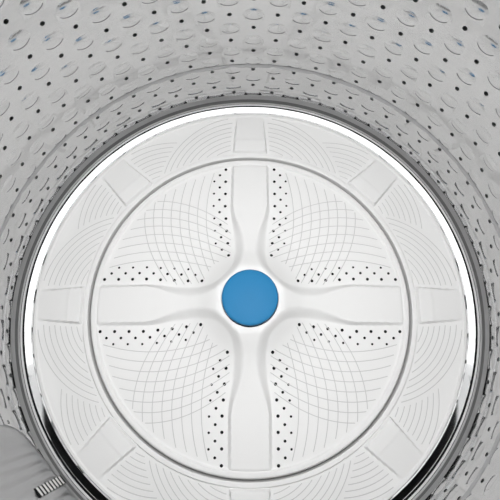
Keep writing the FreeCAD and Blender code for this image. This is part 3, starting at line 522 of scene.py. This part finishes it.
def makeWall():
    low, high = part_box("basket_wall")
    firstEdge = float(rowLevel(0) - (rowLevel(1) - rowLevel(0)) / 2)
    lastEdge = float((rowLevel(wall["rows"] - 1) + rowLevel(wall["rows"])) / 2)
    outside = wallRadius + wall["sheet"]
    bandTop = plateLevel + wall["bandTop"]
    # painted shade: the foot of the wall is dark as the corner's shade
    footShade = plainBand(low.z, bandTop, wallRadius)
    satin = plainBand(bandTop, firstEdge, wallRadius)
    lower = joined((*footShade, np.full(len(footShade[1]), 4)), (*satin, np.full(len(satin[1]), 5)),
                   wallCells(0, wall["splitRow"]))
    upper = joined(wallCells(wall["splitRow"], wall["rows"]), plainBand(lastEdge, high.z, wallRadius))
    skin = joined(plainBand(low.z, firstEdge, outside, flip=True), backSkin(0, wall["rows"]),
                  plainBand(lastEdge, high.z, outside, flip=True))
    coats = [steelWall, lipShade, holeShade, lipShadeSoft, footShadeSteel, footSteel]
    for name, (points, faces, paint), hides in (("basketWallLower", lower, ["basket_wall"]),
                                                ("basketWallUpper", upper, ())):
        makePiece(name, points, faces, "basket", coats, "basket_steel", hides, sharp=50, paint=paint)
    makePiece("basketWallOutside", *skin[:2], "basket", steelPlain, "basket_steel", sharp=50)
    rim = [(wallRadius, low.z), (outside, low.z)]
    makePiece("basketWallFoot", *lathe(rim, wall["segments"]), "basket", steelPlain, "basket_steel")
    under = math.floor(wall["beltRow"])
    level = float(rowLevel(under) + (rowLevel(under + 1) - rowLevel(under)) * (wall["beltRow"] - under))
    beltRadius = wallRadius - wall["beltRise"]
    foot, top = wall["beltHalf"]
    belt = [(wallRadius, level + foot), (beltRadius, level + top), (beltRadius, level - top),
            (wallRadius, level - foot)]
    makePiece("wallBelt", *lathe(belt, wall["segments"]), "basket", panelSteel, "basket_steel", sharp=20)
    print("basket wall made")


# wash plate: four vanes, the pockets between them and the raised hub

plate = {
    "vaneTop": [(0.14, 0.250), (0.18, 0.246), (0.21, 0.225), (0.25, 0.192), (0.30, 0.153), (0.38, 0.112),
                (0.45, 0.085), (0.60, 0.047), (0.80, 0.018), (0.945, 0.004), (1.0, 0.0)],
    "pocketFloor": [(0.14, 0.245), (0.165, 0.238), (0.20, 0.207), (0.25, 0.155), (0.30, 0.110), (0.36, 0.073),
                    (0.45, 0.037), (0.60, 0.008), (0.80, -0.008), (0.93, -0.014), (1.0, -0.014)],
    "vaneHalf": [(0.32, 0.028), (0.38, 0.031), (0.44, 0.043), (0.50, 0.064), (0.57, 0.094), (0.64, 0.108),
                 (0.96, 0.108)],
    "sideBand": [(0.20, 0.055), (0.28, 0.070), (0.40, 0.070), (0.50, 0.050), (0.57, 0.030), (0.66, 0.020),
                 (0.96, 0.018)],
    "cornerCentre": 0.3235,  # the round corners between neighbouring vanes
    "cornerRadius": 0.2955,
    "bore": 0.1625,  # the cap's seat
    "rimStart": 0.957,
    "radialSteps": 144,
    "turnSteps": 640,
    "underStep": 15,  # the underside takes every fifteenth ring of the top
    "thickness": 0.004,
    "seatDepth": 0.016,
}


def curve(table, value):
    # a smooth line through a short table, by rounding a straight-line reading of it
    places, levels = np.array(table).T
    spread = 0.012
    return sum(np.interp(value + shift * spread, places, levels) for shift in (-1.5, -0.5, 0.5, 1.5)) / 4


def vaneGap(along, across):
    # distance from the outline of a vane's top, growing into the pocket beside it
    beside = across - curve(plate["vaneHalf"], along)
    centre = plate["cornerCentre"]
    corner = plate["cornerRadius"] - np.hypot(along - centre, across - centre)
    return np.where(along < centre, corner, beside)


def plateHeight(x, y):
    # x and y in groove radii; the answer is the height above the groove in the same unit
    along, across, radius = sector(x, y, 4)
    top = curve(plate["vaneTop"], along)
    floor = curve(plate["pocketFloor"], radius)
    gap = vaneGap(along, across)
    drop = smoothStep(gap, 0, curve(plate["sideBand"], along))
    dish = 0.004 * smoothStep(along, 0.4, 0.7) * (1 - (across / 0.11) ** 2).clip(0, 1)
    height = np.maximum(top - dish, floor) * (1 - drop) + floor * drop
    rim = smoothStep(radius, plate["rimStart"] - 0.012, plate["rimStart"])
    height = height * (1 - rim)
    seam = np.exp(-((radius - plate["rimStart"] + 0.010) / 0.0035) ** 2)
    height = height - 0.006 * seam * (across < 0.125)
    edge = smoothStep(radius, 0.976, 0.999)
    return height - 0.034 * edge ** 2


def makePlate():
    low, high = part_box("impeller")
    top = discTop(plate["bore"], high.x / grooveRadius, plate, plateHeight)
    skirt = top[-1:].copy()
    skirt[..., 2] = low.z
    under = top[::-plate["underStep"]].copy()
    under[..., 2] = np.maximum(under[..., 2] - plate["thickness"], low.z)
    under[:1, :, 2] = low.z
    seat = top[:1].copy()
    seat[..., 2] -= plate["seatDepth"]
    points = np.concatenate([seat, top, skirt, under[1:]])
    faces = gridFaces(len(points), plate["turnSteps"], wrap=True)
    makePiece("washPlate", points, faces, "impeller", palePlastic, "pale_plastic", ["impeller"])
    print("wash plate made")


# ring round the plate with its eight pads

ring = {
    "start": (grooveRadius + 1.0 * mm) / grooveRadius,
    "end": 1.333,
    "bandEnd": 1.034,
    "padHalf": [(1.0, 0.115), (1.04, 0.113), (1.31, 0.091), (1.4, 0.091)],
    "padTop": [(1.0, 0.013), (1.125, 0.013), (1.14, 0.010), (1.31, 0.001), (1.4, 0.001)],
    "floor": [(1.0, -0.012), (1.05, -0.013), (1.25, -0.013), (1.31, -0.002), (1.4, 0.002)],
    "radialSteps": 90,
    "turnSteps": 960,
}


def ringHeight(x, y):
    along, across, radius = sector(x, y, 8)
    half = np.interp(along, *np.array(ring["padHalf"]).T)
    side = smoothStep(half + 0.005 - across, 0, 0.010)
    end = smoothStep(along, 1.036, 1.050) * smoothStep(-radius, -1.322, -1.312)
    floor = curve(ring["floor"], radius)
    top = np.interp(radius, *np.array(ring["padTop"]).T)
    height = floor + (top - floor) * side * end
    band = smoothStep(-radius, -ring["bandEnd"] - 0.006, -ring["bandEnd"] + 0.002)
    lip = smoothStep(radius, 1.312, 1.318)
    height = height * (1 - band) * (1 - lip) + 0.004 * lip
    return height - 0.003 * smoothStep(-radius, -1.010, -ring["start"]) ** 2


def makeRing():
    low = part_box("wash_ring")[0].z
    top = discTop(ring["start"], ring["end"], ring, ringHeight)
    inner = top[:1].copy()
    inner[..., 2] = low
    outer = top[-1:].copy()
    outer[..., 2] = low
    points = np.concatenate([inner, top, outer])
    faces = gridFaces(len(points), ring["turnSteps"], wrap=True)
    makePiece("washRing", points, faces, "basket", palePlastic, "pale_plastic", ["wash_ring"])
    print("wash ring made")


# fine moulded lines: a low three-sided ridge carried along each arc, coloured grey as painted shade of its
# relief

def ridges(paths, height, width, lift):
    # paths is (count, steps, 2) in groove radii with not-a-number where a line is cut away
    step = np.gradient(paths, axis=1)
    across = np.stack([-step[..., 1], step[..., 0]], axis=-1)
    across /= np.linalg.norm(across, axis=-1, keepdims=True) + 1e-12
    rows = []
    for side, rise in ((-1, -0.3), (-0.5, 1.0), (0.5, 1.0), (1, -0.3)):
        place = paths + across * side * width / 2
        x, y = place[..., 0], place[..., 1]
        rows.append(inGroove(x, y, height(x, y) + lift * rise))
    block = np.stack(rows, axis=2)
    count, steps, sides = block.shape[:3]
    index = np.arange(count * steps * sides).reshape(count, steps, sides)
    quads = np.stack([index[:, :-1, :-1], index[:, 1:, :-1], index[:, 1:, 1:], index[:, :-1, 1:]], axis=-1)
    quads = quads.reshape(-1, 4)
    good = np.isfinite(block.reshape(-1, 3)).all(axis=1)
    quads = quads[good[quads].all(axis=1)]
    used, inverse = np.unique(quads, return_inverse=True)
    return block.reshape(-1, 3)[used], inverse.reshape(-1, 4)


def turned(paths, angles):
    copies = []
    for angle in angles:
        cos, sin = math.cos(angle), math.sin(angle)
        copies.append(paths @ np.array([[cos, sin], [-sin, cos]]))
    return np.concatenate(copies)


def mirrored(paths):
    return np.concatenate([paths, paths * np.array([1, -1])])


lines = {
    "width": 0.0050,  # all in groove radii
    "lift": 0.0014,
    "offsets": (0.285, 0.74, 0.058),  # first, last and step of the lines beside a vane
    "bowCentre": 0.60,
    "reach": (0.27, 0.56, 0.033),  # first, last and step of a fan's radii
    "fanAngle": math.radians(4.1),  # a fan's centre from the middle of its pad
    "fanRadius": 0.775,
}


def platePaths():
    # lines beside a vane that bow away from it, cut at the pocket's edge
    offset = np.arange(*lines["offsets"])
    along = np.linspace(0.12, 0.93, 70)
    bow = 0.5 + 0.8 * (offset - 0.28)
    across = offset[:, None] - bow[:, None] * (along[None, :] - lines["bowCentre"]) ** 2
    paths = np.stack([np.broadcast_to(along, across.shape), across], axis=-1)
    paths = turned(mirrored(paths), np.arange(4) * math.pi / 2)
    near, side, radius = sector(paths[..., 0], paths[..., 1], 4)
    keep = (radius < 0.938) & (radius > 0.30)
    keep &= vaneGap(near, side) > curve(plate["sideBand"], near) + 0.008
    return np.where(keep[..., None], paths, np.nan)


def fanCentre(angle):
    return lines["fanRadius"] * np.array([math.cos(angle), math.sin(angle)])


def ringPaths():
    # fans of arcs about points inside the ring; those by the four main pads lie over the others
    arcSets = []
    reach = np.arange(*lines["reach"])
    sweep = np.linspace(-math.pi, math.pi, 260)
    for padAngle in (0, math.pi / 4):
        for side in (-1, 1):
            centre = fanCentre(side * lines["fanAngle"] + padAngle)
            arcs = centre + reach[:, None, None] * np.stack([np.cos(sweep), np.sin(sweep)], axis=-1)
            angle = np.arctan2(arcs[..., 1], arcs[..., 0]) - padAngle
            angle = (angle + math.pi) % (2 * math.pi) - math.pi
            keep = (angle * side > 0) & (np.abs(angle) < math.pi / 4)
            rivals = [turn + other * lines["fanAngle"] for turn in (0, math.pi / 2) for other in (-1, 1)]
            for rival in rivals if padAngle else ():
                keep &= np.linalg.norm(arcs - fanCentre(rival), axis=-1) > reach[-1] + 0.012
            arcSets.append(np.where(keep[..., None], arcs, np.nan))
    paths = turned(np.concatenate(arcSets), np.arange(4) * math.pi / 2)
    along, across, radius = sector(paths[..., 0], paths[..., 1], 8)
    half = np.interp(along, *np.array(ring["padHalf"]).T)
    keep = (radius > 1.045) & (radius < 1.308) & (across > half + 0.012)
    return np.where(keep[..., None], paths, np.nan)


def makeLines():
    for name, paths, height, body in (("plateLines", platePaths(), plateHeight, "impeller"),
                                      ("ringLines", ringPaths(), ringHeight, "basket")):
        points, faces = ridges(paths, height, lines["width"], lines["lift"])
        makePiece(name, points, faces, body, ridgeShadeLine, "pale_plastic")
    print("moulded lines made")


# small drain holes along both sides of each vane

drainRows = [  # first hole, step, count, shift from the vane, size
    (0.292, 0.0897, 8, 0.0, 0.0098),
    (0.338, 0.0900, 7, 0.039, 0.0086),
    (0.385, 0.0895, 6, 0.076, 0.0074),
]


def makeDrainHoles():
    # three staggered rows that follow the vane's foot; each is a low collar round a mouth closed by a
    # near-black disc, painted shade in the hole
    spots = []
    for start, step, count, shift, size in drainRows:
        along = start + np.arange(count) * step
        across = np.interp(along, (0.30, 0.45, 0.65), (0.132, 0.148, 0.163)) + shift
        spots.append(np.stack([along, across, np.full(count, size)], axis=-1))
    spots = np.concatenate(spots)
    spots = np.concatenate([spots, spots * np.array([1, -1, 1])])
    places, sizes = turned(spots[:, :2], np.arange(4) * math.pi / 2), np.tile(spots[:, 2], 4)
    angle = np.arange(14) * 2 * math.pi / 14
    rows = []
    for share, rise in ((1.35, -0.0006), (1.2, 0.0009), (1.0, 0.0009), (0.94, 0.0004), (0.0, 0.0004)):
        x = places[:, :1] + sizes[:, None] * share * np.cos(angle)
        y = places[:, 1:] + sizes[:, None] * share * np.sin(angle)
        rows.append(inGroove(x, y, plateHeight(x, y) + rise))
    points, faces, layer = cellFans(rows)[:3]
    makePiece("vaneDrainHoles", points, faces, "impeller", [palePlastic, holeShade], "pale_plastic",
              paint=np.tile(layer, len(places)) >= 2)
    print("drain holes made")


# cap, polished ring and band at the wall's foot

cap = {
    "crown": 2.2 * mm,  # drop from the middle of the dome to its edge
    "crownPower": 2.2,
    "middle": 0.002,  # share of the radius left open at the axis
    "domeShare": 0.93,
    "domeSteps": 30,
    "edge": [(0.96, 2.6 * mm), (0.985, 3.2 * mm), (1.0, 4.4 * mm)],  # share of the radius, and drop
    "foot": [(1.0, 2 * mm), (0.97, 0.0), (0.002, 0.0)],  # share of the radius, and rise
    "segments": 120,
}


def makeCap():
    # a dome whose drop grows with a power of the radius, a rounded edge and a flat underside
    low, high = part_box("impeller_cap")
    dome = [(cap["middle"] + cap["domeShare"] * share, high.z - cap["crown"] * share ** cap["crownPower"])
            for share in np.linspace(0, 1, cap["domeSteps"])]
    edge = [(share, high.z - drop) for share, drop in cap["edge"]]
    foot = [(share, low.z + rise) for share, rise in cap["foot"]]
    profile = [(high.x * share, level) for share, level in dome + edge + foot]
    points, faces = lathe(profile[::-1], cap["segments"])
    makePiece("impellerCap", points, faces, "impeller", blueCap, "blue_plastic", ["impeller_cap"])
    print("cap made")


trim = {  # radius and height above the groove, in groove radii
    "rolled": [(1.3345, -0.03), (1.3355, -0.004), (1.338, -0.001), (1.346, -0.001), (1.347, 0.0),
               (1.3785, 0.018), (1.3805, 0.018), (1.3815, 0.016), (1.382, -0.03)],
    "gap": [(1.382, -0.03), (1.383, -0.004), (1.400, -0.004), (1.401, 0.0)],
    "recess": [(1.401, 0.0), (1.403, 0.002), (1.412, 0.002), (1.414, 0.0)],
    "seam": [(1.414, 0.0), (1.4145, -0.004), (1.4165, -0.004), (1.417, 0.0)],
    "foot": [(1.417, 0.0), (1.420, 0.001), (1.4285, 0.001), (1.4285, -0.05)],
    "segments": 360,
    "sharp": 8,  # degrees; the polished ring keeps its flats
}


def makeTrim():
    # the gap by the plate and the seam at the wall's foot are near-black rings of painted shade
    for name, line, material, slotName, hides in (
            ("floorTrimRing", "rolled", mirrorSteel, "mirror_steel", ["floor_trim_ring"]),
            ("trimGap", "gap", holeShade, "basket_steel", ()),
            ("recessBand", "recess", recessSteel, "basket_steel", ()),
            ("footSeam", "seam", holeShade, "basket_steel", ()),
            ("footBand", "foot", footSteel, "basket_steel", ())):
        profile = [(r * grooveRadius, plateLevel + z * grooveRadius) for r, z in trim[line]]
        points, faces = lathe(profile, trim["segments"])
        makePiece(name, points, faces, "basket", material, slotName, hides, sharp=trim["sharp"])
    print("trim made")


# smooth panel low on the wall, with its small comb of slots

panel = {
    "azimuth": 236.0,  # degrees from +X to its middle
    "halfWidth": 29.0,  # degrees
    "low": 0.0125,  # edges above the groove, metres
    "high": 0.215,
    "rise": 1.9 * mm,
    "tuck": 0.4 * mm,  # how far its outline lies behind the wall's face
    "lines": 26,
    "lineShare": 0.20,
    "steps": (61, 261),
    "combAzimuth": 223.4,
    "combHalf": 1.1,  # degrees
    "combFoot": 13 * mm,
    "combPitch": 3.6 * mm,
    "combSlots": 8,
    "slotRise": 2.6 * mm,
    "ribRise": 2.9 * mm,
    "ribShare": 0.9,
}


def curvedBox(half, low, rise):
    # a small block of the comb on the wall, half as wide in degrees, from level low and one pitch tall
    middle = panel["combAzimuth"]
    high = low + panel["combPitch"]
    corner = np.array([(azimuth, radius, z) for radius in (wallRadius, wallRadius - rise) for z in (low, high)
                       for azimuth in (middle - half, middle + half)])
    angle = np.radians(corner[:, 0])
    points = spot(corner[:, 1] * np.cos(angle), corner[:, 1] * np.sin(angle), corner[:, 2])
    sides = [(4, 6, 7, 5), (0, 1, 3, 2), (0, 4, 5, 1), (2, 3, 7, 6), (0, 2, 6, 4), (1, 5, 7, 3)]
    return points, np.array(sides)


def makePanel():
    # height over the wall is 1 inside a rounded four-sided outline and falls to 0 across its edge,
    # with shallow upright lines
    rows, columns = panel["steps"]
    share, level = np.meshgrid(np.linspace(-1, 1, columns), np.linspace(-1, 1, rows), indexing="xy")
    reach = (np.abs(share) ** 4 + np.abs(level) ** 4) ** 0.25
    mask = smoothStep(-reach, -1.0, -0.965)
    line = np.cos(share * math.pi * panel["lines"]) * smoothStep(-reach, -0.93, -0.85)
    height = (panel["rise"] + panel["tuck"]) * mask * (1 + panel["lineShare"] * line)
    radius = wallRadius + panel["tuck"] - height
    angle = np.radians(panel["azimuth"] + panel["halfWidth"] * share)
    middle = plateLevel + (panel["low"] + panel["high"]) / 2
    z = middle + (panel["high"] - panel["low"]) / 2 * level
    points = spot(radius * np.cos(angle), radius * np.sin(angle), z)
    faces = gridFaces(rows, columns, flip=True)
    makePiece("filterPanel", points, faces, "basket", panelSteel, "basket_steel")
    # slots and ribs by turns, one above another; the slots are near-black blocks, painted shade in the
    # openings
    for name, first, half, rise, material in (
            ("combSlots", 0, panel["combHalf"], panel["slotRise"], holeShade),
            ("combRibs", 1, panel["combHalf"] * panel["ribShare"], panel["ribRise"], palePlastic)):
        places = np.arange(first, panel["combSlots"] * 2 + 1, 2)
        feet = plateLevel + panel["combFoot"] + places * panel["combPitch"]
        made = joined(*[curvedBox(half, foot, rise) for foot in feet])
        makePiece(name, *made[:2], "basket", material, "pale_plastic")
    print("filter panel made")


# control panel: everything lies on the slope, given by x, level up the slope and distance out of it

slope = {"foot": (0.232, 0.950), "lean": math.radians(12), "controls": 0.084, "knob": -0.120}
buttonSizes = {"power": (-0.250, 0.013), "start": (-0.200, 0.017), "temperature": (0.140, 0.011),
               "spin": (0.190, 0.011), "soil": (0.240, 0.011)}
console = {
    "bezel": [(31.5 * mm, 3.6 * mm), (36.5 * mm, 3.6 * mm), (36.5 * mm, 4.6 * mm), (35.0 * mm, 5.6 * mm),
              (32.6 * mm, 5.2 * mm), (31.5 * mm, 4.2 * mm)],  # radius and distance out
    "buttonLip": [(0.6 * mm, 3.6 * mm), (2.4 * mm, 3.6 * mm), (2.2 * mm, 4.5 * mm), (1.2 * mm, 4.8 * mm),
                  (0.6 * mm, 4.4 * mm)],  # beyond the button's radius
    "markRadius": 42 * mm,
    "lampRadius": 49 * mm,
    "print": (3.9 * mm, 4.15 * mm),  # lower and upper face of printed marks
    "dot": (3.9 * mm, 4.25 * mm),
    "lamp": (3.9 * mm, 4.2 * mm),
    "display": (3.1 * mm, 3.35 * mm),
    "edge": (3.8 * mm, 4.5 * mm),
    "edgeWidth": 1.3 * mm,
    "pointer": (23.8 * mm, 24.5 * mm),
    "rowShift": 27 * mm,  # lamps above and marks below the buttons
    "smallButton": 0.012,
}


def onSlope(x, level, out):
    cos, sin = math.cos(slope["lean"]), math.sin(slope["lean"])
    y = slope["foot"][0] + level * sin - out * cos
    z = slope["foot"][1] + level * cos + out * sin
    return spot(x, y, z)


def slopeRound(profile, x, level, count=96):
    # (radius, distance out) pairs carried round an axis that stands on the slope
    return lathe(profile, count, lambda along, up, out: onSlope(x + along, level + up, out))


def slopeBar(x, level, wide, tall, low, high, turn=0.0):
    # a bar with softened upper edges, turned in the plane of the slope
    side = np.array([(-1, -1), (1, -1), (1, 1), (-1, 1)]) / 2
    rings = []
    for share, out in ((1.0, low), (1.0, high - (high - low) * 0.3), (0.86, high), (0.0, high)):
        along, up = (side * (wide, tall) * share).T
        cornerX = x + along * math.cos(turn) - up * math.sin(turn)
        cornerLevel = level + along * math.sin(turn) + up * math.cos(turn)
        rings.append(onSlope(cornerX, cornerLevel, out))
    points = np.concatenate(rings)
    return points, gridFaces(4, 4, wrap=True)


def makeConsole():
    centre = slope["controls"]
    knob = slope["knob"]
    silver = finishes["knob_silver"]
    rings = [slopeRound(console["bezel"], knob, centre)]
    for x, radius in buttonSizes.values():
        rings.append(slopeRound([(radius + more, out) for more, out in console["buttonLip"]], x, centre, 64))
    makePiece("controlBezels", *joined(*rings)[:2], "cabinet", silver, "knob_silver")
    marks, lamps = [], []
    for turn in np.radians(np.arange(-150, 151, 25) + 90):
        x, level = math.cos(turn), math.sin(turn)
        for bars, radius, wide, tall, faces in ((marks, "markRadius", 6 * mm, 1.0 * mm, "print"),
                                                (lamps, "lampRadius", 2.2 * mm, 2.2 * mm, "dot")):
            reach = console[radius]
            bars.append(slopeBar(knob + reach * x, centre + reach * level, wide, tall, *console[faces], turn))
    away = console["rowShift"]
    for x, radius in buttonSizes.values():
        for shift in (-9 * mm, 0.0, 9 * mm) if radius < console["smallButton"] else (0.0,):
            lamps.append(slopeBar(x + shift, centre + away, 3.4 * mm, 1.4 * mm, *console["lamp"]))
        marks.append(slopeBar(x, centre - away, 14 * mm, 0.9 * mm, *console["print"]))
    makePiece("dialMarks", *joined(*marks)[:2], "cabinet", printWhite, "button_grey", sharp=30)
    makePiece("dialLamps", *joined(*lamps)[:2], "cabinet", lampOff, "button_grey", sharp=30)
    bars = []
    for place in range(12):
        tall = (3 + place * 0.9) * mm
        bars.append(slopeBar((-34 + 8.9 * place) * mm, 0.0765, 6.2 * mm, tall, *console["display"]))
    for place in range(5):
        bars.append(slopeBar((-20 + 17.5 * place) * mm, 0.098, 9 * mm, 2.2 * mm, *console["display"]))
    makePiece("displayBars", *joined(*bars)[:2], "cabinet", lampLit, "display_glass", sharp=30)
    thin = console["edgeWidth"]
    edges = [slopeBar(0, level, 0.6236, thin, *console["edge"]) for level in (15.2 * mm, 152.8 * mm)]
    edges += [slopeBar(x, 84 * mm, thin, 0.1376, *console["edge"]) for x in (-0.3117, 0.3117)]
    makePiece("fasciaEdge", *joined(*edges)[:2], "cabinet", silver, "knob_silver", sharp=30)
    pointer = slopeBar(knob, centre + 15.5 * mm, 2.2 * mm, 12 * mm, *console["pointer"])
    makePiece("knobPointer", *pointer, "cycle_knob", printWhite, "knob_silver", sharp=30)
    print("control panel detailed")


# back: screws, stamped louvres

back = {
    "face": 0.3322,
    "screws": [(x, z) for x in (-0.325, -0.11, 0.11, 0.325) for z in (0.06, 0.34, 0.62, 0.895)
               if abs(x) > 0.3 or z in (0.06, 0.895)],
    "head": [(5.5 * mm, 0.0), (5.5 * mm, 1.2 * mm), (4.6 * mm, 2.6 * mm), (2.4 * mm, 3.0 * mm),
             (2.1 * mm, 1.6 * mm), (0.0, 1.6 * mm)],  # radius and distance out
    "louvreColumns": (-0.13, 0.13),
    "louvreLevels": 0.46 + np.arange(9) * 0.022,
    "louvreHalf": 0.075,
    "louvreTall": 0.012,
    "louvreRise": 5.5 * mm,
    "tuck": 0.4 * mm,
    "steps": (13, 33),
}


def backRound(profile, x, z, count=24):
    # (radius, y) pairs round an axis along y
    return lathe(profile, count, lambda along, up, y: spot(x + along, y, z + up), flip=True)


def makeBack():
    head = [(radius, back["face"] + out) for radius, out in back["head"]]
    heads = [backRound(head, x, z) for x, z in back["screws"]]
    makePiece("backScrews", *joined(*heads)[:2], "cabinet", finishes["zinc_steel"], "zinc_steel", sharp=35)
    # each louvre is half a flattened tube, highest along its lower edge
    rows, columns = back["steps"]
    share, turn = np.meshgrid(np.linspace(-1, 1, columns), np.linspace(0, 1, rows), indexing="xy")
    fade = (1 - np.abs(share) ** 6).clip(0, 1)
    y = back["face"] - back["tuck"] + back["louvreRise"] * fade * np.sin(turn * math.pi) * (1.25 - 0.5 * turn)
    louvres = []
    for column in back["louvreColumns"]:
        for level in back["louvreLevels"]:
            z = level + (turn - 0.5) * back["louvreTall"]
            points = spot(column + share * back["louvreHalf"], y, z).reshape(-1, 3)
            louvres.append((points, gridFaces(rows, columns, flip=True)))
    makePiece("backLouvres", *joined(*louvres)[:2], "cabinet", finishes["galvanised"], "galvanised", sharp=60)
    print("back detailed")


# four coil springs that carry the tub

coil = {
    "reach": 0.272,  # from the middle of the cabinet to each rod, both ways
    "radius": 15 * mm,
    "wire": 1.8 * mm,
    "low": 0.2038,
    "high": 0.3280,
    "turns": 9,
    "stepsPerTurn": 24,
    "sides": 8,
}


def makeSprings():
    # a helix about each rod, whose first and last turns lie close and whose others share the height;
    # the wire's round section is carried along it and closes to a point at both ends
    count = coil["turns"] * coil["stepsPerTurn"] + 1
    turns = np.linspace(0, coil["turns"], count)
    closed = 2.1 * coil["wire"]
    rise = coil["high"] - coil["low"]
    level = coil["low"] + np.interp(turns, (0, 1, coil["turns"] - 1, coil["turns"]),
                                    (0, closed, rise - closed, rise))
    thick = np.full(count, coil["wire"])
    thick[[0, -1]] = 0
    side = circle(coil["sides"])
    reach = coil["radius"] + thick[:, None] * np.cos(side)
    turn = (2 * math.pi * turns)[:, None]
    level = level[:, None] + thick[:, None] * np.sin(side)
    shape = spot(reach * np.cos(turn), reach * np.sin(turn), level).reshape(-1, 3)
    quads = gridFaces(count, coil["sides"], wrap=True, flip=True)
    corners = [np.array([x, y, 0]) * coil["reach"] for x in (-1, 1) for y in (-1, 1)]
    springs = joined(*[(shape + corner, quads) for corner in corners])
    piece = makePiece("suspensionCoils", *springs[:2], None, finishes["zinc_steel"], "zinc_steel",
                      ["suspension_springs"], sharp=60)
    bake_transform(piece)
    print("springs made")


# floor, lights and camera

studio = {
    "world": 0.48,
    "worldColour": (1.0, 1.0, 1.0, 1),
    "floorHalf": 60,
    "lamps": {  # size, power, place and aim
        "overhead": ((4.7, 3.2), 50, (0, -0.3, 3.4), (0, -0.3, 0)),
        "keySide": ((1.4, 1.4), 26, (2.6, -2.8, 2.2), (0, 0, 0.6)),
        "fillSide": ((2.0, 2.0), 9, (-3.0, -1.8, 1.6), (0, 0, 0.6)),
        "backFill": ((2.0, 2.0), 14, (-1.8, 3.0, 2.2), (0, 0, 0.7)),
    },
    "mouthPower": 2.14,
    "mouthPlace": (0.0, 0.015, 0.925),
    "mouthAim": (0, 0, 0.345),
    "mouthSize": 0.26,
    "mouthSpread": 150.0,  # degrees; keeps the light off the lip of the mouth
}
view = {"lens": 33.2, "sensor": 36, "tilt": 15.34, "front": 0.4285, "above": 2.8494}  # in groove radii


def areaLight(name, shape, power, place, target):
    data = bpy.data.lights.new(name, "AREA")
    data.shape = shape
    data.energy = power
    lamp = bpy.data.objects.new(name, data)
    lamp.location = place
    lamp.rotation_euler = (Vector(target) - Vector(place)).to_track_quat("-Z", "Y").to_euler()
    lamp.visible_camera = False
    bpy.context.scene.collection.objects.link(lamp)
    return lamp


def makeStage():
    scene = bpy.context.scene
    mesh = bpy.data.meshes.new("floor")
    far = studio["floorHalf"]
    mesh.from_pydata([(-far, -far, 0), (far, -far, 0), (far, far, 0), (-far, far, 0)], [], [(0, 1, 2, 3)])
    floor = bpy.data.objects.new("floor", mesh)
    scene.collection.objects.link(floor)
    mesh.materials.append(finish("floorPale", (0.86, 0.86, 0.86), 0.6, speckle=0.01))
    world = bpy.data.worlds.new("studio")
    world.use_nodes = True
    world.node_tree.nodes["Background"].inputs[0].default_value = studio["worldColour"]
    world.node_tree.nodes["Background"].inputs[1].default_value = studio["world"]
    scene.world = world
    scene.view_settings.view_transform = "Standard"
    for name, (size, power, place, aim) in studio["lamps"].items():
        lamp = areaLight(name, "RECTANGLE", power, place, aim)
        lamp.data.size, lamp.data.size_y = size
    drum = areaLight("drumLight", "DISK", studio["mouthPower"], studio["mouthPlace"], studio["mouthAim"])
    drum.data.size = studio["mouthSize"]
    drum.data.spread = math.radians(studio["mouthSpread"])
    drum.visible_glossy = False


def makeCamera():
    # looks down through the mouth, tipped toward the back wall
    data = bpy.data.cameras.new("camera")
    data.sensor_width = view["sensor"]
    data.lens = view["lens"]
    data.clip_start = 0.01
    camera = bpy.data.objects.new("camera", data)
    camera.location = (0, -view["front"] * grooveRadius, plateLevel + view["above"] * grooveRadius)
    camera.rotation_euler = (math.radians(view["tilt"]), 0, 0)
    bpy.context.scene.collection.objects.link(camera)
    bpy.context.scene.camera = camera


dressNodes()
makeWall()
makePlate()
makeRing()
makeLines()
makeDrainHoles()
makeCap()
makeTrim()
makePanel()
makeConsole()
makeBack()
makeSprings()
makeStage()
makeCamera()
